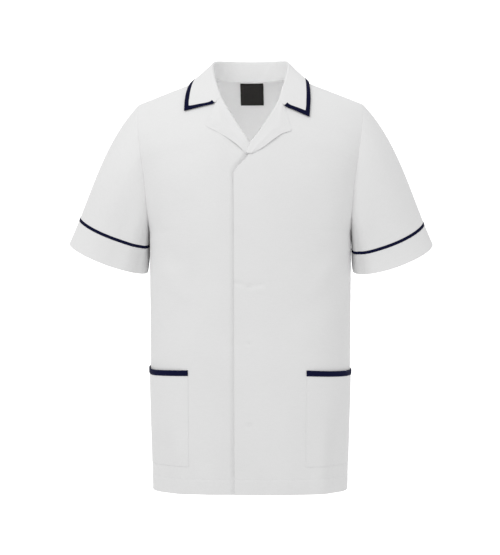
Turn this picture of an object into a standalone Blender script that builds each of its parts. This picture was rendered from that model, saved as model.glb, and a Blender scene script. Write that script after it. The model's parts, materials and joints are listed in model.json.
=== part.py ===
"""Work tunic with short sleeves, open collar, navy trims and two patch pockets.

It is shown as worn with no wearer: every piece is a thin wall around an empty hollow.
+X is the wearer's left, the front faces -Y and +Z is up. The origin lies midway between
the middles of the two shoulder seams, where the garment hangs on its wearer.
Tables and sizes are in millimetres, and cloth() turns them into metres.
"""

import bpy
import numpy as np
from mathutils import Vector
from mathutils.bvhtree import BVHTree

for obj in list(bpy.data.objects):
    bpy.data.objects.remove(obj, do_unlink=True)

MM = 0.001
FRONT = -1
BACK = 1

# Cloth.
WALL = 1.6
TRIM_WALL = 2.0
LABEL_WALL = 1.0
GAP = 0.3
ON_TOP = WALL + GAP + 0.15
SEAM_HALF = 0.42

# Heights of the body, measured at the middle of the front or the back.
HEM_Z = -731.0
HEM_STITCH_Z = -704.0
POCKET_BOTTOM_Z = -682.0
POCKET_TOP_Z = -506.0
POCKET_TRIM = 12.0
POCKET_SAG = {1: (2.2, 1.0), -1: (0.8, 5.0)}
ARMPIT_Z = -268.0
SHOULDER_ROW = 42.2
SHOULDER_TIP_Z = -24.0
HEM_SAG = 2.6

# Plan of the body.
COLUMN_ROUNDING = 2.5
LAP_LIFT = 1.1
LAP_FADE = (28.0, 62.0)
CROSSING_DEPTH = 2.3
NECK_SIDE = 70.0
POCKET_INNER = 104.0

# Sleeves.
SLEEVE_MIDDLE = (262.0, -5.0, -307.5)
SLEEVE_ACROSS = {1: (0.951, 0.0, 0.309), -1: (0.94, 0.0, 0.342)}
SLEEVE_HALF_WIDTH = 77.0
SLEEVE_HALF_DEPTH = 52.0
SLEEVE_FRONT_DIP = {1: 20.0, -1: 14.0}
SLEEVE_DOWN = (0.407, -0.06, -0.914)
CUFF_DEPTH = 44.0
SLEEVE_TRIM = 5.0

# Collar and turned-back fronts.
COLLAR_TRIM = 9.0
FOLD_RADIUS = 2.3
TUCK = 2.6
SEAM_GAP = 0.75

# One row for each level of the body. half_width and the edges follow the side seam
# up to the armpit and the armhole above it. corner is how far the curve of a row
# runs round before the edge cuts it off, 1.0 for all the way to the side seam. rounding
# is the power of that curve: 2 for an ellipse, and more for a squarer plan.
LEVELS = (
    "row", "half_width", "edge_front", "edge_back", "mid_front", "mid_back", "corner", "rounding",
)
BODY = np.array([
    (-731.0, 178.5, 0.0, 0.0, -118.0, 113.0, 1.00, 3.0),
    (-682.0, 179.6, 0.0, 0.0, -120.0, 114.0, 1.00, 2.9),
    (-600.0, 181.4, 0.0, 0.0, -123.0, 115.0, 1.00, 2.7),
    (-506.0, 183.2, 0.0, 0.0, -124.2, 112.0, 1.00, 2.55),
    (-400.0, 184.2, 0.0, 0.0, -124.8, 110.5, 1.00, 2.5),
    (-320.0, 184.8, 0.0, 0.0, -127.2, 117.0, 1.00, 2.6),
    (-268.0, 185.0, 0.0, 0.0, -128.3, 121.2, 1.00, 2.75),
    (-262.0, 185.1, -12.0, 12.0, -128.35, 121.7, 0.9993, 2.75),
    (-250.0, 185.3, -32.5, 31.0, -128.4, 122.7, 0.991, 2.75),
    (-236.0, 185.6, -46.0, 45.5, -128.4, 124.0, 0.972, 2.75),
    (-220.0, 186.0, -55.0, 56.0, -128.2, 125.3, 0.945, 2.75),
    (-190.0, 187.8, -61.0, 63.5, -127.2, 127.4, 0.918, 2.72),
    (-150.0, 190.5, -63.5, 67.0, -124.8, 129.0, 0.90, 2.65),
    (-90.0, 196.5, -64.0, 71.0, -113.0, 126.0, 0.90, 2.5),
    (-40.0, 202.0, -55.0, 65.0, -92.0, 112.0, 0.90, 2.5),
    (0.0, 205.0, -38.0, 49.0, -66.0, 87.0, 0.90, 2.5),
    (24.0, 206.0, -21.0, 28.0, -42.0, 64.0, 0.90, 2.5),
    (33.0, 206.0, -12.5, 19.0, -27.0, 49.5, 0.90, 2.5),
    (38.3, 206.0, -5.0, 12.0, -14.0, 31.0, 0.90, 2.5),
    (42.2, 206.0, 4.0, 4.0, 4.0, 4.0, 0.90, 2.5),
])

# Broad soft folds: outward lift, negative for a trough, along a line on one side.
FOLDS = ("side", "x0", "z0", "x1", "z1", "spread", "lift")
SOFT_FOLDS = np.array([
    (FRONT, 160.0, -560.0, 153.0, -740.0, 13.0, -4.0),
    (FRONT, 136.0, -590.0, 130.0, -740.0, 15.0, 3.0),
    (FRONT, -152.0, -600.0, -147.0, -740.0, 15.0, -3.2),
    (FRONT, -122.0, -610.0, -118.0, -740.0, 17.0, 2.6),
    (FRONT, 158.0, -306.0, 112.0, -380.0, 18.0, 3.0),
    (FRONT, -156.0, -312.0, -114.0, -388.0, 18.0, 2.6),
    (FRONT, 104.0, -150.0, 110.0, -430.0, 36.0, -3.0),
    (FRONT, -102.0, -160.0, -108.0, -440.0, 36.0, -2.8),
    (BACK, 0.0, -130.0, 0.0, -470.0, 52.0, -7.0),
    (BACK, 92.0, -260.0, 112.0, -740.0, 26.0, 4.6),
    (BACK, -88.0, -250.0, -106.0, -740.0, 26.0, 4.2),
    (BACK, 46.0, -420.0, 52.0, -740.0, 22.0, -2.6),
    (BACK, -50.0, -430.0, -48.0, -740.0, 22.0, -3.0),
])

# The cut edge of each front from the lap up to the side of the neck, x measured
# towards the piece's own side, and how far the fold of the revers stands beyond it.
EDGE = ("x", "z", "overhang")
FRONT_EDGE = {
    1: np.array([
        (-26.0, -157.0, 0.0),
        (-21.0, -149.5, 0.0),
        (-13.8, -141.0, 0.0),
        (-4.0, -131.0, 0.0),
        (2.0, -122.5, 6.0),
        (6.5, -107.0, 4.4),
        (15.0, -92.5, 3.2),
        (25.0, -78.2, 3.0),
        (34.0, -64.5, 3.0),
        (42.0, -51.5, 3.0),
        (49.5, -37.5, 3.0),
        (55.5, -26.0, 3.0),
        (59.0, -15.0, 3.0),
        (62.5, -3.0, 3.0),
        (65.5, 8.0, 3.0),
        (68.0, 18.0, 3.0),
    ]),
    -1: np.array([
        (-26.0, -148.0, 0.0),
        (-18.0, -136.0, 0.0),
        (-8.0, -119.0, 0.0),
        (0.8, -103.5, 3.2),
        (7.0, -93.0, 3.2),
        (14.5, -81.5, 3.0),
        (23.0, -68.5, 3.0),
        (31.0, -55.5, 3.0),
        (38.5, -43.5, 3.0),
        (45.8, -31.5, 3.0),
        (52.5, -19.5, 3.0),
        (57.0, -10.5, 3.0),
        (61.5, 0.0, 3.0),
        (65.0, 9.5, 3.0),
        (68.0, 18.5, 3.0),
    ]),
}
BACK_NECK = np.array([
    (-62.0, 26.0),
    (-50.0, 25.3),
    (-35.0, 24.7),
    (-18.0, 24.2),
    (0.0, 24.0),
    (18.0, 24.2),
    (35.0, 24.7),
    (50.0, 25.3),
    (62.0, 26.0),
])

# Turned-back fronts, from the bottom of the fold up to the gorge: the first point of
# the cut edge to take, and the outer edge of the leaf for that point and each after it.
REVERS_START = {1: 4, -1: 3}
LEAF = ("out_x", "out_z")
REVERS = {
    1: np.array([
        (9.5, -121.5),
        (27.5, -111.0),
        (46.5, -97.5),
        (62.0, -84.5),
        (77.5, -81.5),
        (73.5, -66.0),
        (69.0, -50.0),
        (65.0, -38.0),
    ]),
    -1: np.array([
        (8.0, -117.5),
        (21.5, -105.0),
        (38.0, -93.0),
        (58.0, -82.0),
        (77.5, -69.5),
        (72.5, -57.0),
        (67.5, -44.0),
        (63.1, -32.6),
    ]),
}

# Collar from the middle of the back to its front end: where it meets the neck seam,
# the top of the roll, and the outer edge of the fall on the panel below it.
COLLAR = ("neck_x", "neck_z", "roll_x", "roll_y", "roll_z", "out_x", "out_z")
COLLAR_BACK = np.array([
    (0.0, 24.0, 0.0, 70.0, 61.0, 0.0, 6.0),
    (18.0, 24.2, 20.0, 68.0, 61.0, 25.0, 6.2),
    (35.0, 24.7, 38.5, 61.0, 60.8, 49.0, 7.1),
    (50.0, 25.3, 54.5, 48.5, 60.3, 71.0, 8.2),
    (62.0, 26.4, 66.5, 28.0, 57.8, 92.0, 11.7),
    (70.0, 27.6, 71.0, 2.0, 49.5, 105.0, 15.1),
])
COLLAR_FRONT = {
    1: np.array([
        (68.0, 18.0, 70.3, -19.0, 36.0, 108.5, 3.0),
        (65.5, 8.0, 68.0, -36.0, 23.0, 109.8, -9.0),
        (62.5, -3.0, 65.0, -52.0, 10.0, 110.4, -22.0),
        (59.0, -15.0, 60.5, -66.0, -4.5, 109.8, -38.0),
    ]),
    -1: np.array([
        (68.0, 18.5, 70.3, -18.0, 37.0, 112.0, 5.0),
        (65.0, 9.5, 67.0, -35.0, 25.0, 114.5, -5.0),
        (61.5, 0.0, 63.3, -50.0, 12.5, 116.3, -16.0),
        (57.0, -10.5, 58.5, -64.0, -0.5, 117.2, -29.0),
    ]),
}
COLLAR_END = ("edge_x", "edge_z", "notch_x", "notch_z", "tip_x", "tip_z")
COLLAR_ENDS = {
    1: (55.5, -26.0, 64.4, -35.6, 108.8, -55.5),
    -1: (52.5, -19.5, 62.4, -30.2, 117.2, -43.5),
}

NAVY = (0.014, 0.020, 0.075, 1.0)
WHITE = (0.86, 0.87, 0.88, 1.0)
LABEL_BLACK = (0.02, 0.02, 0.02, 1.0)


def smooth_through(knots, values, at):
    """A monotone cubic through one column of a table."""
    step = np.diff(knots)
    slope = np.diff(values) / step
    lean = np.zeros(len(knots))
    lean[0] = slope[0]
    lean[-1] = slope[-1]
    for k in range(1, len(knots) - 1):
        before, after = slope[k - 1], slope[k]
        if before * after > 0:
            weight = (2 * step[k] + step[k - 1], step[k] + 2 * step[k - 1])
            lean[k] = sum(weight) / (weight[0] / before + weight[1] / after)
    at = np.clip(at, knots[0], knots[-1])
    k = np.clip(np.searchsorted(knots, at) - 1, 0, len(step) - 1)
    t = (at - knots[k]) / step[k]
    rise = values[k + 1] - values[k]
    start, end = lean[k] * step[k], lean[k + 1] * step[k]
    return values[k] + t * (start + t * (3 * rise - 2 * start - end + t * (start + end - 2 * rise)))


def level(name, row):
    return smooth_through(BODY[:, 0], BODY[:, LEVELS.index(name)], row)


def edge_height(row):
    """Height of a row at the side seam or the armhole, from its height at the middle."""
    climb = (SHOULDER_TIP_Z - ARMPIT_Z) / (SHOULDER_ROW - ARMPIT_Z)
    return np.where(row < ARMPIT_Z, row, ARMPIT_Z + climb * (row - ARMPIT_Z))


def fall_across(share):
    """How much of the drop from the middle to the edge of a row is reached at a share."""
    soft = 0.25
    return (np.sqrt(share ** 2 + soft ** 2) - soft) / (np.sqrt(1 + soft ** 2) - soft)


def rise_across(share, corner, rounding):
    """1 at the middle of a row and 0 at its edge, along a rounded-off oblong."""
    def arch(x):
        return np.maximum(1 - np.abs(x) ** rounding, 0) ** (1 / rounding)

    at_edge = arch(corner)
    return (arch(corner * share) - at_edge) / (1 - at_edge)


def bare(side, share, row):
    """Point of the body before folds: share runs from -1 to 1 across, row is a height."""
    share, row = np.broadcast_arrays(np.asarray(share, float), np.asarray(row, float))
    name = "front" if side == FRONT else "back"
    x = level("half_width", row) * share
    z = row + (edge_height(row) - row) * fall_across(np.abs(share))
    z = z - HEM_SAG * (1 - np.abs(share) ** 8) * ease(row, -600.0, HEM_Z)
    edge = level("edge_" + name, row)
    middle = level("mid_" + name, row)
    y = edge + (middle - edge) * rise_across(share, level("corner", row), level("rounding", row))
    return np.stack([x, y + side * SEAM_HALF, z], axis=-1)


def unit(vectors):
    return vectors / np.maximum(np.linalg.norm(vectors, axis=-1, keepdims=True), 1e-9)


def bare_normal(side, share, row):
    share, row = np.broadcast_arrays(np.asarray(share, float), np.asarray(row, float))
    right = bare(side, np.minimum(share + 0.004, 1), row)
    left = bare(side, np.maximum(share - 0.004, -1), row)
    above = bare(side, share, np.minimum(row + 0.6, SHOULDER_ROW))
    below = bare(side, share, np.maximum(row - 0.6, HEM_Z))
    return unit(np.cross(right - left, above - below)) * -side


def soft_folds(side, x, z):
    total = np.zeros_like(x)
    for fold_side, x0, z0, x1, z1, spread, lift in SOFT_FOLDS:
        if fold_side != side:
            continue
        line = np.array([x1 - x0, z1 - z0])
        along = ((x - x0) * line[0] + (z - z0) * line[1]) / (line @ line)
        off = np.hypot(x - x0 - along * line[0], z - z0 - along * line[1])
        ends = np.clip(along * 2.5, 0, 1) * np.clip((1.12 - along) * 4, 0, 1)
        total += lift * ends ** 2 * (3 - 2 * ends) * np.exp(-((off / spread) ** 2))
    return total


def ease(value, start, end):
    t = np.clip((value - start) / (end - start), 0, 1)
    return t * t * (3 - 2 * t)


def lap_lift(hand, x, z):
    """The left front (hand 1) stands out over the right one (hand -1) at the centre."""
    near = 1 - ease(hand * x, *LAP_FADE)
    crossing = ease(z, -190.0, -135.0) if hand < 0 else 0.0
    return near * (hand * LAP_LIFT - CROSSING_DEPTH * crossing)


def body(side, share, row, lift=0.0, hand=0):
    """Middle of the cloth on the body, moved out by lift."""
    point = bare(side, share, row)
    out = lift + soft_folds(side, point[..., 0], point[..., 2])
    if hand:
        out = out + lap_lift(hand, point[..., 0], point[..., 2])
    return point + bare_normal(side, share, row) * np.asarray(out)[..., None]


def row_at(side, x, z):
    """The row that passes through a given x and z."""
    x, z = np.broadcast_arrays(np.asarray(x, float), np.asarray(z, float))
    low = np.full(x.shape, HEM_Z)
    high = np.full(x.shape, SHOULDER_ROW)
    for _ in range(44):
        row = (low + high) / 2
        share = np.clip(x / level("half_width", row), -1, 1)
        height = row + (edge_height(row) - row) * fall_across(np.abs(share))
        low = np.where(height < z, row, low)
        high = np.where(height < z, high, row)
    return np.clip(x / level("half_width", row), -1, 1), row


def on_body(side, x, z, lift=0.0, hand=0):
    return body(side, *row_at(side, x, z), lift, hand)


def round_shares(first, last, count):
    """Shares between two shares of a row, close together round the side."""
    power = COLUMN_ROUNDING
    ends = [np.arctan2(share, (1 - share ** power) ** (1 / power)) for share in (first, last)]
    turn = np.linspace(*ends, count)
    size = (np.sin(turn) ** power + np.maximum(np.cos(turn), 0) ** power) ** (1 / power)
    return np.sin(turn) / size


def material(name, colour, rough):
    made = bpy.data.materials.new(name)
    made.use_nodes = True
    shader = made.node_tree.nodes["Principled BSDF"]
    shader.inputs["Base Color"].default_value = colour
    shader.inputs["Roughness"].default_value = rough
    made.diffuse_color = colour
    return made


def grid_normals(grid, around):
    if around:
        across = np.roll(grid, -1, 1) - np.roll(grid, 1, 1)
    else:
        across = np.gradient(grid, axis=1)
    return unit(np.cross(across, np.gradient(grid, axis=0)))


def cloth(name, grid, cover, wall=WALL, around=False):
    """A closed wall of even thickness about a grid of points in the middle of the cloth."""
    grid = np.asarray(grid, float)
    rows, columns = grid.shape[:2]
    half = grid_normals(grid, around) * wall / 2
    points = np.concatenate([(grid + half).reshape(-1, 3), (grid - half).reshape(-1, 3)]) * MM
    inner = rows * columns
    faces = []

    def at(r, c):
        return r * columns + c % columns

    for r in range(rows - 1):
        for c in range(columns if around else columns - 1):
            ring = [at(r, c), at(r, c + 1), at(r + 1, c + 1), at(r + 1, c)]
            faces.append(ring)
            faces.append([inner + v for v in reversed(ring)])
    skins = len(faces)
    border = []
    for c in range(columns if around else columns - 1):
        border.append((at(0, c + 1), at(0, c)))
        border.append((at(rows - 1, c), at(rows - 1, c + 1)))
    if not around:
        for r in range(rows - 1):
            border.append((at(r, 0), at(r + 1, 0)))
            border.append((at(r + 1, columns - 1), at(r, columns - 1)))
    faces += [[a, b, inner + b, inner + a] for a, b in border]
    volume = 0.0
    for face in faces:
        p = points[face]
        for k in range(1, len(face) - 1):
            volume += np.dot(p[0], np.cross(p[k], p[k + 1]))
    if volume < 0:
        faces = [list(reversed(face)) for face in faces]
    mesh = bpy.data.meshes.new(name)
    mesh.from_pydata([tuple(p) for p in points], [], faces)
    mesh.polygons.foreach_set("use_smooth", [k < skins for k in range(len(faces))])
    mesh.materials.append(cover)
    mesh.update()
    piece = bpy.data.objects.new(name, mesh)
    bpy.context.scene.collection.objects.link(piece)
    return piece


class Surface:
    """Finds the nearest point of some panels, to lay another piece on them."""

    def __init__(self, grids):
        points, faces = [], []
        for grid in grids:
            rows, columns = grid.shape[:2]
            start = len(points)
            points += [Vector(p) for p in grid.reshape(-1, 3)]
            for r in range(rows - 1):
                for c in range(columns - 1):
                    a = start + r * columns + c
                    faces.append((a, a + 1, a + columns + 1, a + columns))
        self.tree = BVHTree.FromPolygons(points, faces)

    def clear(self, point, out, distance):
        """The point, moved out if it is nearer than distance to the cloth below it."""
        near, normal, _, _ = self.tree.find_nearest(Vector(point))
        if normal.dot(Vector(out)) < 0:
            normal = -normal
        away = Vector(point) - near
        height = away.dot(normal)
        beside = (away - normal * height).length
        if beside > 1.0 or height >= distance:
            return np.array(point)
        return np.array(near + normal * distance)


white = material("white_cloth", WHITE, 0.85)
navy = material("navy_cloth", NAVY, 0.8)
black = material("black_label", LABEL_BLACK, 0.7)

# Rows shared by the fronts and the back, so that their seams match.
low_rows = np.array([
    HEM_Z, HEM_STITCH_Z, POCKET_BOTTOM_Z, -645.0, -600.0, -556.0, POCKET_TOP_Z - POCKET_TRIM,
    POCKET_TOP_Z, -460.0, -412.0, -364.0, -316.0, ARMPIT_Z,
])
armhole_rows = np.array([
    -262.0, -250.0, -222.0, -184.0, -146.0, -110.0, -76.0, -44.0, -16.0, 8.0, 24.0, 35.0,
    SHOULDER_ROW,
])
climb = (armhole_rows - ARMPIT_Z) / (SHOULDER_ROW - ARMPIT_Z)
neck_share = NECK_SIDE / 206.0
pocket_share = POCKET_INNER / 184.0
pocket_shares = round_shares(pocket_share, 1.0, 8)
side_shares = np.concatenate([round_shares(neck_share, pocket_share, 4)[:-1], pocket_shares])


def panel_rows(shares, tops):
    high = ARMPIT_Z + climb[:, None] * (tops - ARMPIT_Z)[None]
    low = np.repeat(low_rows[:, None], len(shares), axis=1)
    return np.concatenate([low, high])


front_grids = {}
for hand in (1, -1):
    line = FRONT_EDGE[hand]
    centre, cut_rows = row_at(FRONT, line[:, 0], line[:, 1])
    shares = np.concatenate([centre, side_shares])
    tops = np.concatenate([cut_rows, np.full(len(side_shares), SHOULDER_ROW)])
    rows = panel_rows(shares, tops)
    grid = body(FRONT, hand * shares[None], rows, hand=hand)
    front_grids[hand] = grid
    cloth("front_left" if hand > 0 else "front_right", grid, white)

centre, cut_rows = row_at(BACK, BACK_NECK[:, 0], BACK_NECK[:, 1])
shares = np.concatenate([-side_shares[::-1], centre, side_shares])
shoulder = np.full(len(side_shares), SHOULDER_ROW)
tops = np.concatenate([shoulder, cut_rows, shoulder])
back_grid = body(BACK, shares[None], panel_rows(shares, tops))
cloth("back", back_grid, white)

# Sleeves: each station of the armhole runs to the matching point of the hem ring.
station_rows = np.concatenate([[ARMPIT_Z], armhole_rows])
for hand in (1, -1):
    down_front = body(FRONT, hand * 1.0, station_rows[::-1])
    up_back = body(BACK, hand * 1.0, station_rows[1:])
    armhole = np.concatenate([down_front, up_back[:-1]])
    armhole[:, 0] *= hand
    steps = np.linalg.norm(np.diff(armhole, axis=0, append=armhole[:1]), axis=1)
    turn = 2 * np.pi * np.concatenate([[0], np.cumsum(steps)[:-1]]) / steps.sum()
    bottom = len(down_front) - 1
    turn[:bottom + 1] *= np.pi / turn[bottom]
    turn[bottom:] = np.pi + (turn[bottom:] - turn[bottom]) * np.pi / (2 * np.pi - turn[bottom])
    low = (1 - np.cos(turn)) / 2
    armhole[:, 0] += 0.9 + 1.3 * low
    across = np.array(SLEEVE_ACROSS[hand])
    forward = np.array([0.0, -SLEEVE_HALF_DEPTH, -SLEEVE_FRONT_DIP[hand]])
    ring = (
        np.array(SLEEVE_MIDDLE)
        + np.cos(turn)[:, None] * SLEEVE_HALF_WIDTH * across
        + np.sin(turn)[:, None] * forward
    )
    length = np.linalg.norm(ring - armhole, axis=1)
    swing = np.sin(turn)[:, None]
    top = np.cos(turn)[:, None] * 0.5 + 0.5
    leave = unit(
        top * np.array([0.695, 0.0, -0.719])
        + (1 - top) * np.array([0.10, 0.0, -1.0])
        + swing * np.array([0.0, -0.22, 0.0])
    )
    arrive = unit(np.array(SLEEVE_DOWN) + (1 - top) * np.array([-0.26, 0.0, 0.0]))

    def sleeve(share):
        t = np.asarray(share)[..., None]
        return (
            (1 + t ** 2 * (2 * t - 3)) * armhole
            + t * (1 - t) ** 2 * leave * length[:, None]
            + t ** 2 * (3 - 2 * t) * ring
            + t ** 2 * (t - 1) * arrive * length[:, None]
        ) * np.array([hand, 1, 1])

    fine = np.linspace(0, 1, 121)
    walk = np.linalg.norm(np.diff(sleeve(fine[:, None] + np.zeros(len(armhole))), axis=0), axis=2)
    to_hem = np.concatenate([np.cumsum(walk[::-1], axis=0)[::-1], np.zeros((1, len(armhole)))])

    def above_hem(distance):
        return np.array([np.interp(distance, line[::-1], fine[::-1]) for line in to_hem.T])

    name = "left" if hand > 0 else "right"
    trim_top = above_hem(CUFF_DEPTH + SLEEVE_TRIM)
    spread = np.array([0.0, 0.10, 0.22, 0.35, 0.48, 0.61, 0.74, 0.87, 1.0])[:, None]
    cloth("sleeve_" + name, sleeve(spread * trim_top), white, around=True)
    inset = SEAM_GAP + 0.2
    trim = [above_hem(CUFF_DEPTH + SLEEVE_TRIM - inset), above_hem(CUFF_DEPTH + inset)]
    cloth("sleeve_trim_" + name, sleeve(np.array(trim)), navy, TRIM_WALL, around=True)
    cuff = [above_hem(CUFF_DEPTH), above_hem(CUFF_DEPTH * 0.55), above_hem(0.0)]
    cloth("cuff_" + name, sleeve(np.array(cuff)), white, around=True)

# Pockets lie on the fronts and run into the side seams. The mouth sags in its middle and
# climbs towards the side seam.
for hand in (1, -1):
    name = "left" if hand > 0 else "right"
    heights = np.array([POCKET_BOTTOM_Z, -645.0, -600.0, -556.0, POCKET_TOP_Z - POCKET_TRIM - GAP])
    across = np.linspace(0, 1, len(pocket_shares))
    full = np.sin(np.pi * across)[None] ** 0.7

    def bulge(rows):
        up = (rows - POCKET_BOTTOM_Z) / (POCKET_TOP_Z - POCKET_BOTTOM_Z)
        return ON_TOP + 0.25 + 2.2 * full * np.sin(np.pi / 2 * np.clip(up, 0, 1))

    def sagged(rows):
        up = (rows - POCKET_BOTTOM_Z) / (POCKET_TOP_Z - POCKET_BOTTOM_Z)
        sag, climb = POCKET_SAG[hand]
        return rows + up ** 2 * (climb * ease(across, 0.5, 1.0) - sag * np.sin(np.pi * across))

    rows = np.repeat(heights[:, None], len(across), axis=1)
    panel = body(FRONT, hand * pocket_shares[None], sagged(rows), bulge(rows))
    cloth("pocket_" + name, panel, white)
    rows = np.array([POCKET_TOP_Z - POCKET_TRIM, POCKET_TOP_Z])[:, None] + np.zeros(len(across))
    band = body(FRONT, hand * pocket_shares[None], sagged(rows), bulge(rows) + 0.2)
    cloth("pocket_trim_" + name, band, navy, TRIM_WALL)

# Turned-back fronts: each column goes from inside the cut edge, round it and out.
for hand in (1, -1):
    panel = Surface([front_grids[hand]])
    first = REVERS_START[hand]
    cut = FRONT_EDGE[hand][first:first + len(REVERS[hand])].copy()
    cut[-1, :2] += 0.08 * (cut[-2, :2] - cut[-1, :2])
    outer = REVERS[hand]
    edge = on_body(FRONT, hand * cut[:, 0], cut[:, 1], hand=hand)
    over = on_body(FRONT, hand * cut[:, 0], cut[:, 1], 1.0, hand=hand)
    normal = unit(over - edge)
    along = unit(np.gradient(edge, axis=0))
    beyond = unit(np.cross(normal, along)) * hand
    toward_neck = np.array([-hand, 0.0, 0.6])
    beyond *= np.sign(beyond @ toward_neck)[:, None]
    stand = cut[:, 2:]
    tuck = np.minimum(TUCK, stand)
    columns = [
        edge - normal * ON_TOP - beyond * tuck,
        edge - normal * ON_TOP + beyond * 0.6,
        edge - normal * ON_TOP * 0.75 + beyond * (stand * 0.75),
        edge + beyond * stand,
        edge + normal * ON_TOP * 0.9 + beyond * (stand * 0.75),
        edge + normal * (ON_TOP + 0.5) + beyond * 0.6,
    ]
    for share in (0.2, 0.45, 0.72, 1.0):
        x = cut[:, 0] + share * (outer[:, 0] - cut[:, 0])
        z = cut[:, 1] + share * (outer[:, 1] - cut[:, 1])
        lift = ON_TOP + 1.2 * np.sin(np.pi * min(share * 1.2, 1.0)) + 0.2
        leaf = on_body(FRONT, hand * x, z, lift, hand)
        columns.append(np.array([panel.clear(p, n, ON_TOP + 0.4) for p, n in zip(leaf, normal)]))
    cloth("revers_left" if hand > 0 else "revers_right", np.array(columns), white)

# Collar: a net of points for each station, then a finer net through them.
panels = Surface([front_grids[1], front_grids[-1], back_grid])


def place_on(side, x, z, lift, hand):
    return on_body(side, np.array([x]), np.array([z]), lift, hand)[0]


def collar_column(neck, out_of, into, roll, away, outer):
    """Foot inside the neck seam, stand, roll and fall of one station."""
    start = neck - out_of * (ON_TOP + SEAM_GAP)
    rise = unit(roll - start)
    mid_fall = roll + away * (FOLD_RADIUS + 1.2) - rise * FOLD_RADIUS
    fall = outer - mid_fall
    column = [
        start + into * TUCK - out_of * 0.5,
        start - into * 2.0 - out_of * 0.2,
        start - into * 2.0 + (roll - away * FOLD_RADIUS - start) * 0.4,
        roll - away * FOLD_RADIUS - rise * FOLD_RADIUS,
        roll,
        roll + away * FOLD_RADIUS - rise * FOLD_RADIUS * 0.7,
        mid_fall + fall * 0.22 + away * 0.8,
        mid_fall + fall * 0.48 + away * 1.0,
        mid_fall + fall * 0.74 + away * 0.5,
        outer,
    ]
    return np.array(column)


def seam_frames(line, hand):
    """Point, outward normal and direction back into the panel along the neck seam."""
    points, normals = [], []
    last_back = len(COLLAR_BACK) - 1
    for k, (x, z) in enumerate(line):
        sides = [side for side, here in ((BACK, k <= last_back), (FRONT, k >= last_back)) if here]
        pairs = [(place_on(side, hand * x, z, 0.0, hand * (side == FRONT)),
                  place_on(side, hand * x, z, 1.0, hand * (side == FRONT))) for side in sides]
        points.append(np.mean([low for low, _ in pairs], axis=0))
        normals.append(unit(np.sum([unit(high - low) for low, high in pairs], axis=0)))
    points, normals = np.array(points), np.array(normals)
    tangents = np.gradient(points, axis=0)
    tangents[0] = (1.0, 0.0, 0.0)
    into = unit(np.cross(normals, tangents))
    into *= np.sign(np.sum(into * (points - np.array([0.0, 0.0, 60.0])), axis=1))[:, None]
    return points, normals, into


def collar_half(hand):
    columns = []
    rolls = np.concatenate([COLLAR_BACK[:, 2:5], COLLAR_FRONT[hand][:, 2:5]])
    lines = np.concatenate([COLLAR_BACK, COLLAR_FRONT[hand]])
    edge_x, edge_z, notch_x, notch_z, tip_x, tip_z = COLLAR_ENDS[hand]
    seam = np.concatenate([lines[:, :2], [(edge_x, edge_z)]])
    points, normals, intos = seam_frames(seam, hand)
    tangents = np.gradient(rolls, axis=0)
    tangents[0] = (1.0, 0.0, 0.0)
    for k, (_, _, roll_x, roll_y, roll_z, out_x, out_z) in enumerate(lines):
        side = BACK if k < len(COLLAR_BACK) - 1 else FRONT
        roll = np.array([hand * roll_x, roll_y, roll_z])
        tangent = unit(tangents[k] * np.array([hand, 1, 1]))
        rise = unit(roll - points[k])
        away = unit(np.cross(tangent, rise)) * hand
        away *= np.sign(away @ np.array([hand * (0.2 + roll_x), roll_y, 0.0]))
        outer = place_on(side, hand * out_x, out_z, ON_TOP + 1.2, hand if side == FRONT else 0)
        columns.append(collar_column(points[k], normals[k], intos[k], roll, away, outer))
    edge, normal, into = points[-1], normals[-1], intos[-1]
    stand = 3.0

    def leaf(share, lift):
        x = np.interp(share, (0, 0.3, 1), (edge_x, notch_x, tip_x))
        z = np.interp(share, (0, 0.3, 1), (edge_z, notch_z, tip_z))
        return place_on(FRONT, hand * x, z, lift, hand)

    beyond = -into
    columns.append(np.array([
        edge - normal * (ON_TOP + 0.3) - beyond * TUCK,
        edge - normal * (ON_TOP + 0.3) + beyond * 0.6,
        edge - normal * ON_TOP * 0.95 + beyond * (stand * 0.4),
        edge - normal * ON_TOP * 0.72 + beyond * (stand * 0.72),
        edge + beyond * stand,
        edge + normal * ON_TOP * 0.85 + beyond * (stand * 0.72),
        leaf(0.10, ON_TOP + 0.9),
        leaf(0.30, ON_TOP + 0.9),
        leaf(0.62, ON_TOP + 0.9),
        leaf(1.0, ON_TOP + 0.9),
    ]))
    return columns


right_half = collar_half(-1)
left_half = collar_half(1)
net = np.array(right_half[:0:-1] + left_half)
spans = np.arange(len(net), dtype=float)
ROLL_ROW = 4
STAND_ROW = 2


def through_net(k, w):
    """Point of the collar at station k and row w, both with fractions."""
    rows = np.empty((net.shape[1], 3))
    for r in range(net.shape[1]):
        for axis in range(3):
            column = net[:, r, axis]
            if r < STAND_ROW:
                rows[r, axis] = np.interp(k, spans, column)
            else:
                rows[r, axis] = smooth_through(spans, column, np.array(k))
    marks = np.arange(net.shape[1], dtype=float)
    point = np.array([smooth_through(marks, rows[:, axis], np.array(w)) for axis in range(3)])
    if w > ROLL_ROW + 1:
        out = np.array([0.2 * point[0], point[1], 90.0])
        point = panels.clear(point, out, ON_TOP + 0.9)
    return point


LAST_K = spans[-1]
LAST_W = net.shape[1] - 1.0
NOTCH_W = 6.75


def walk_in(outer, step):
    """How far to go from the edge of the net until the trim's width is reached."""
    start = through_net(*outer)
    low, high = 0.0, 3.0
    for _ in range(18):
        middle = (low + high) / 2
        point = through_net(outer[0] + step[0] * middle, outer[1] + step[1] * middle)
        if np.linalg.norm(point - start) < COLLAR_TRIM:
            low = middle
        else:
            high = middle
    return low


def trim_inner(k):
    """Row at which the trim's inner edge runs at station k."""
    return LAST_W - walk_in((k, LAST_W), (0, -1))


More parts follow.
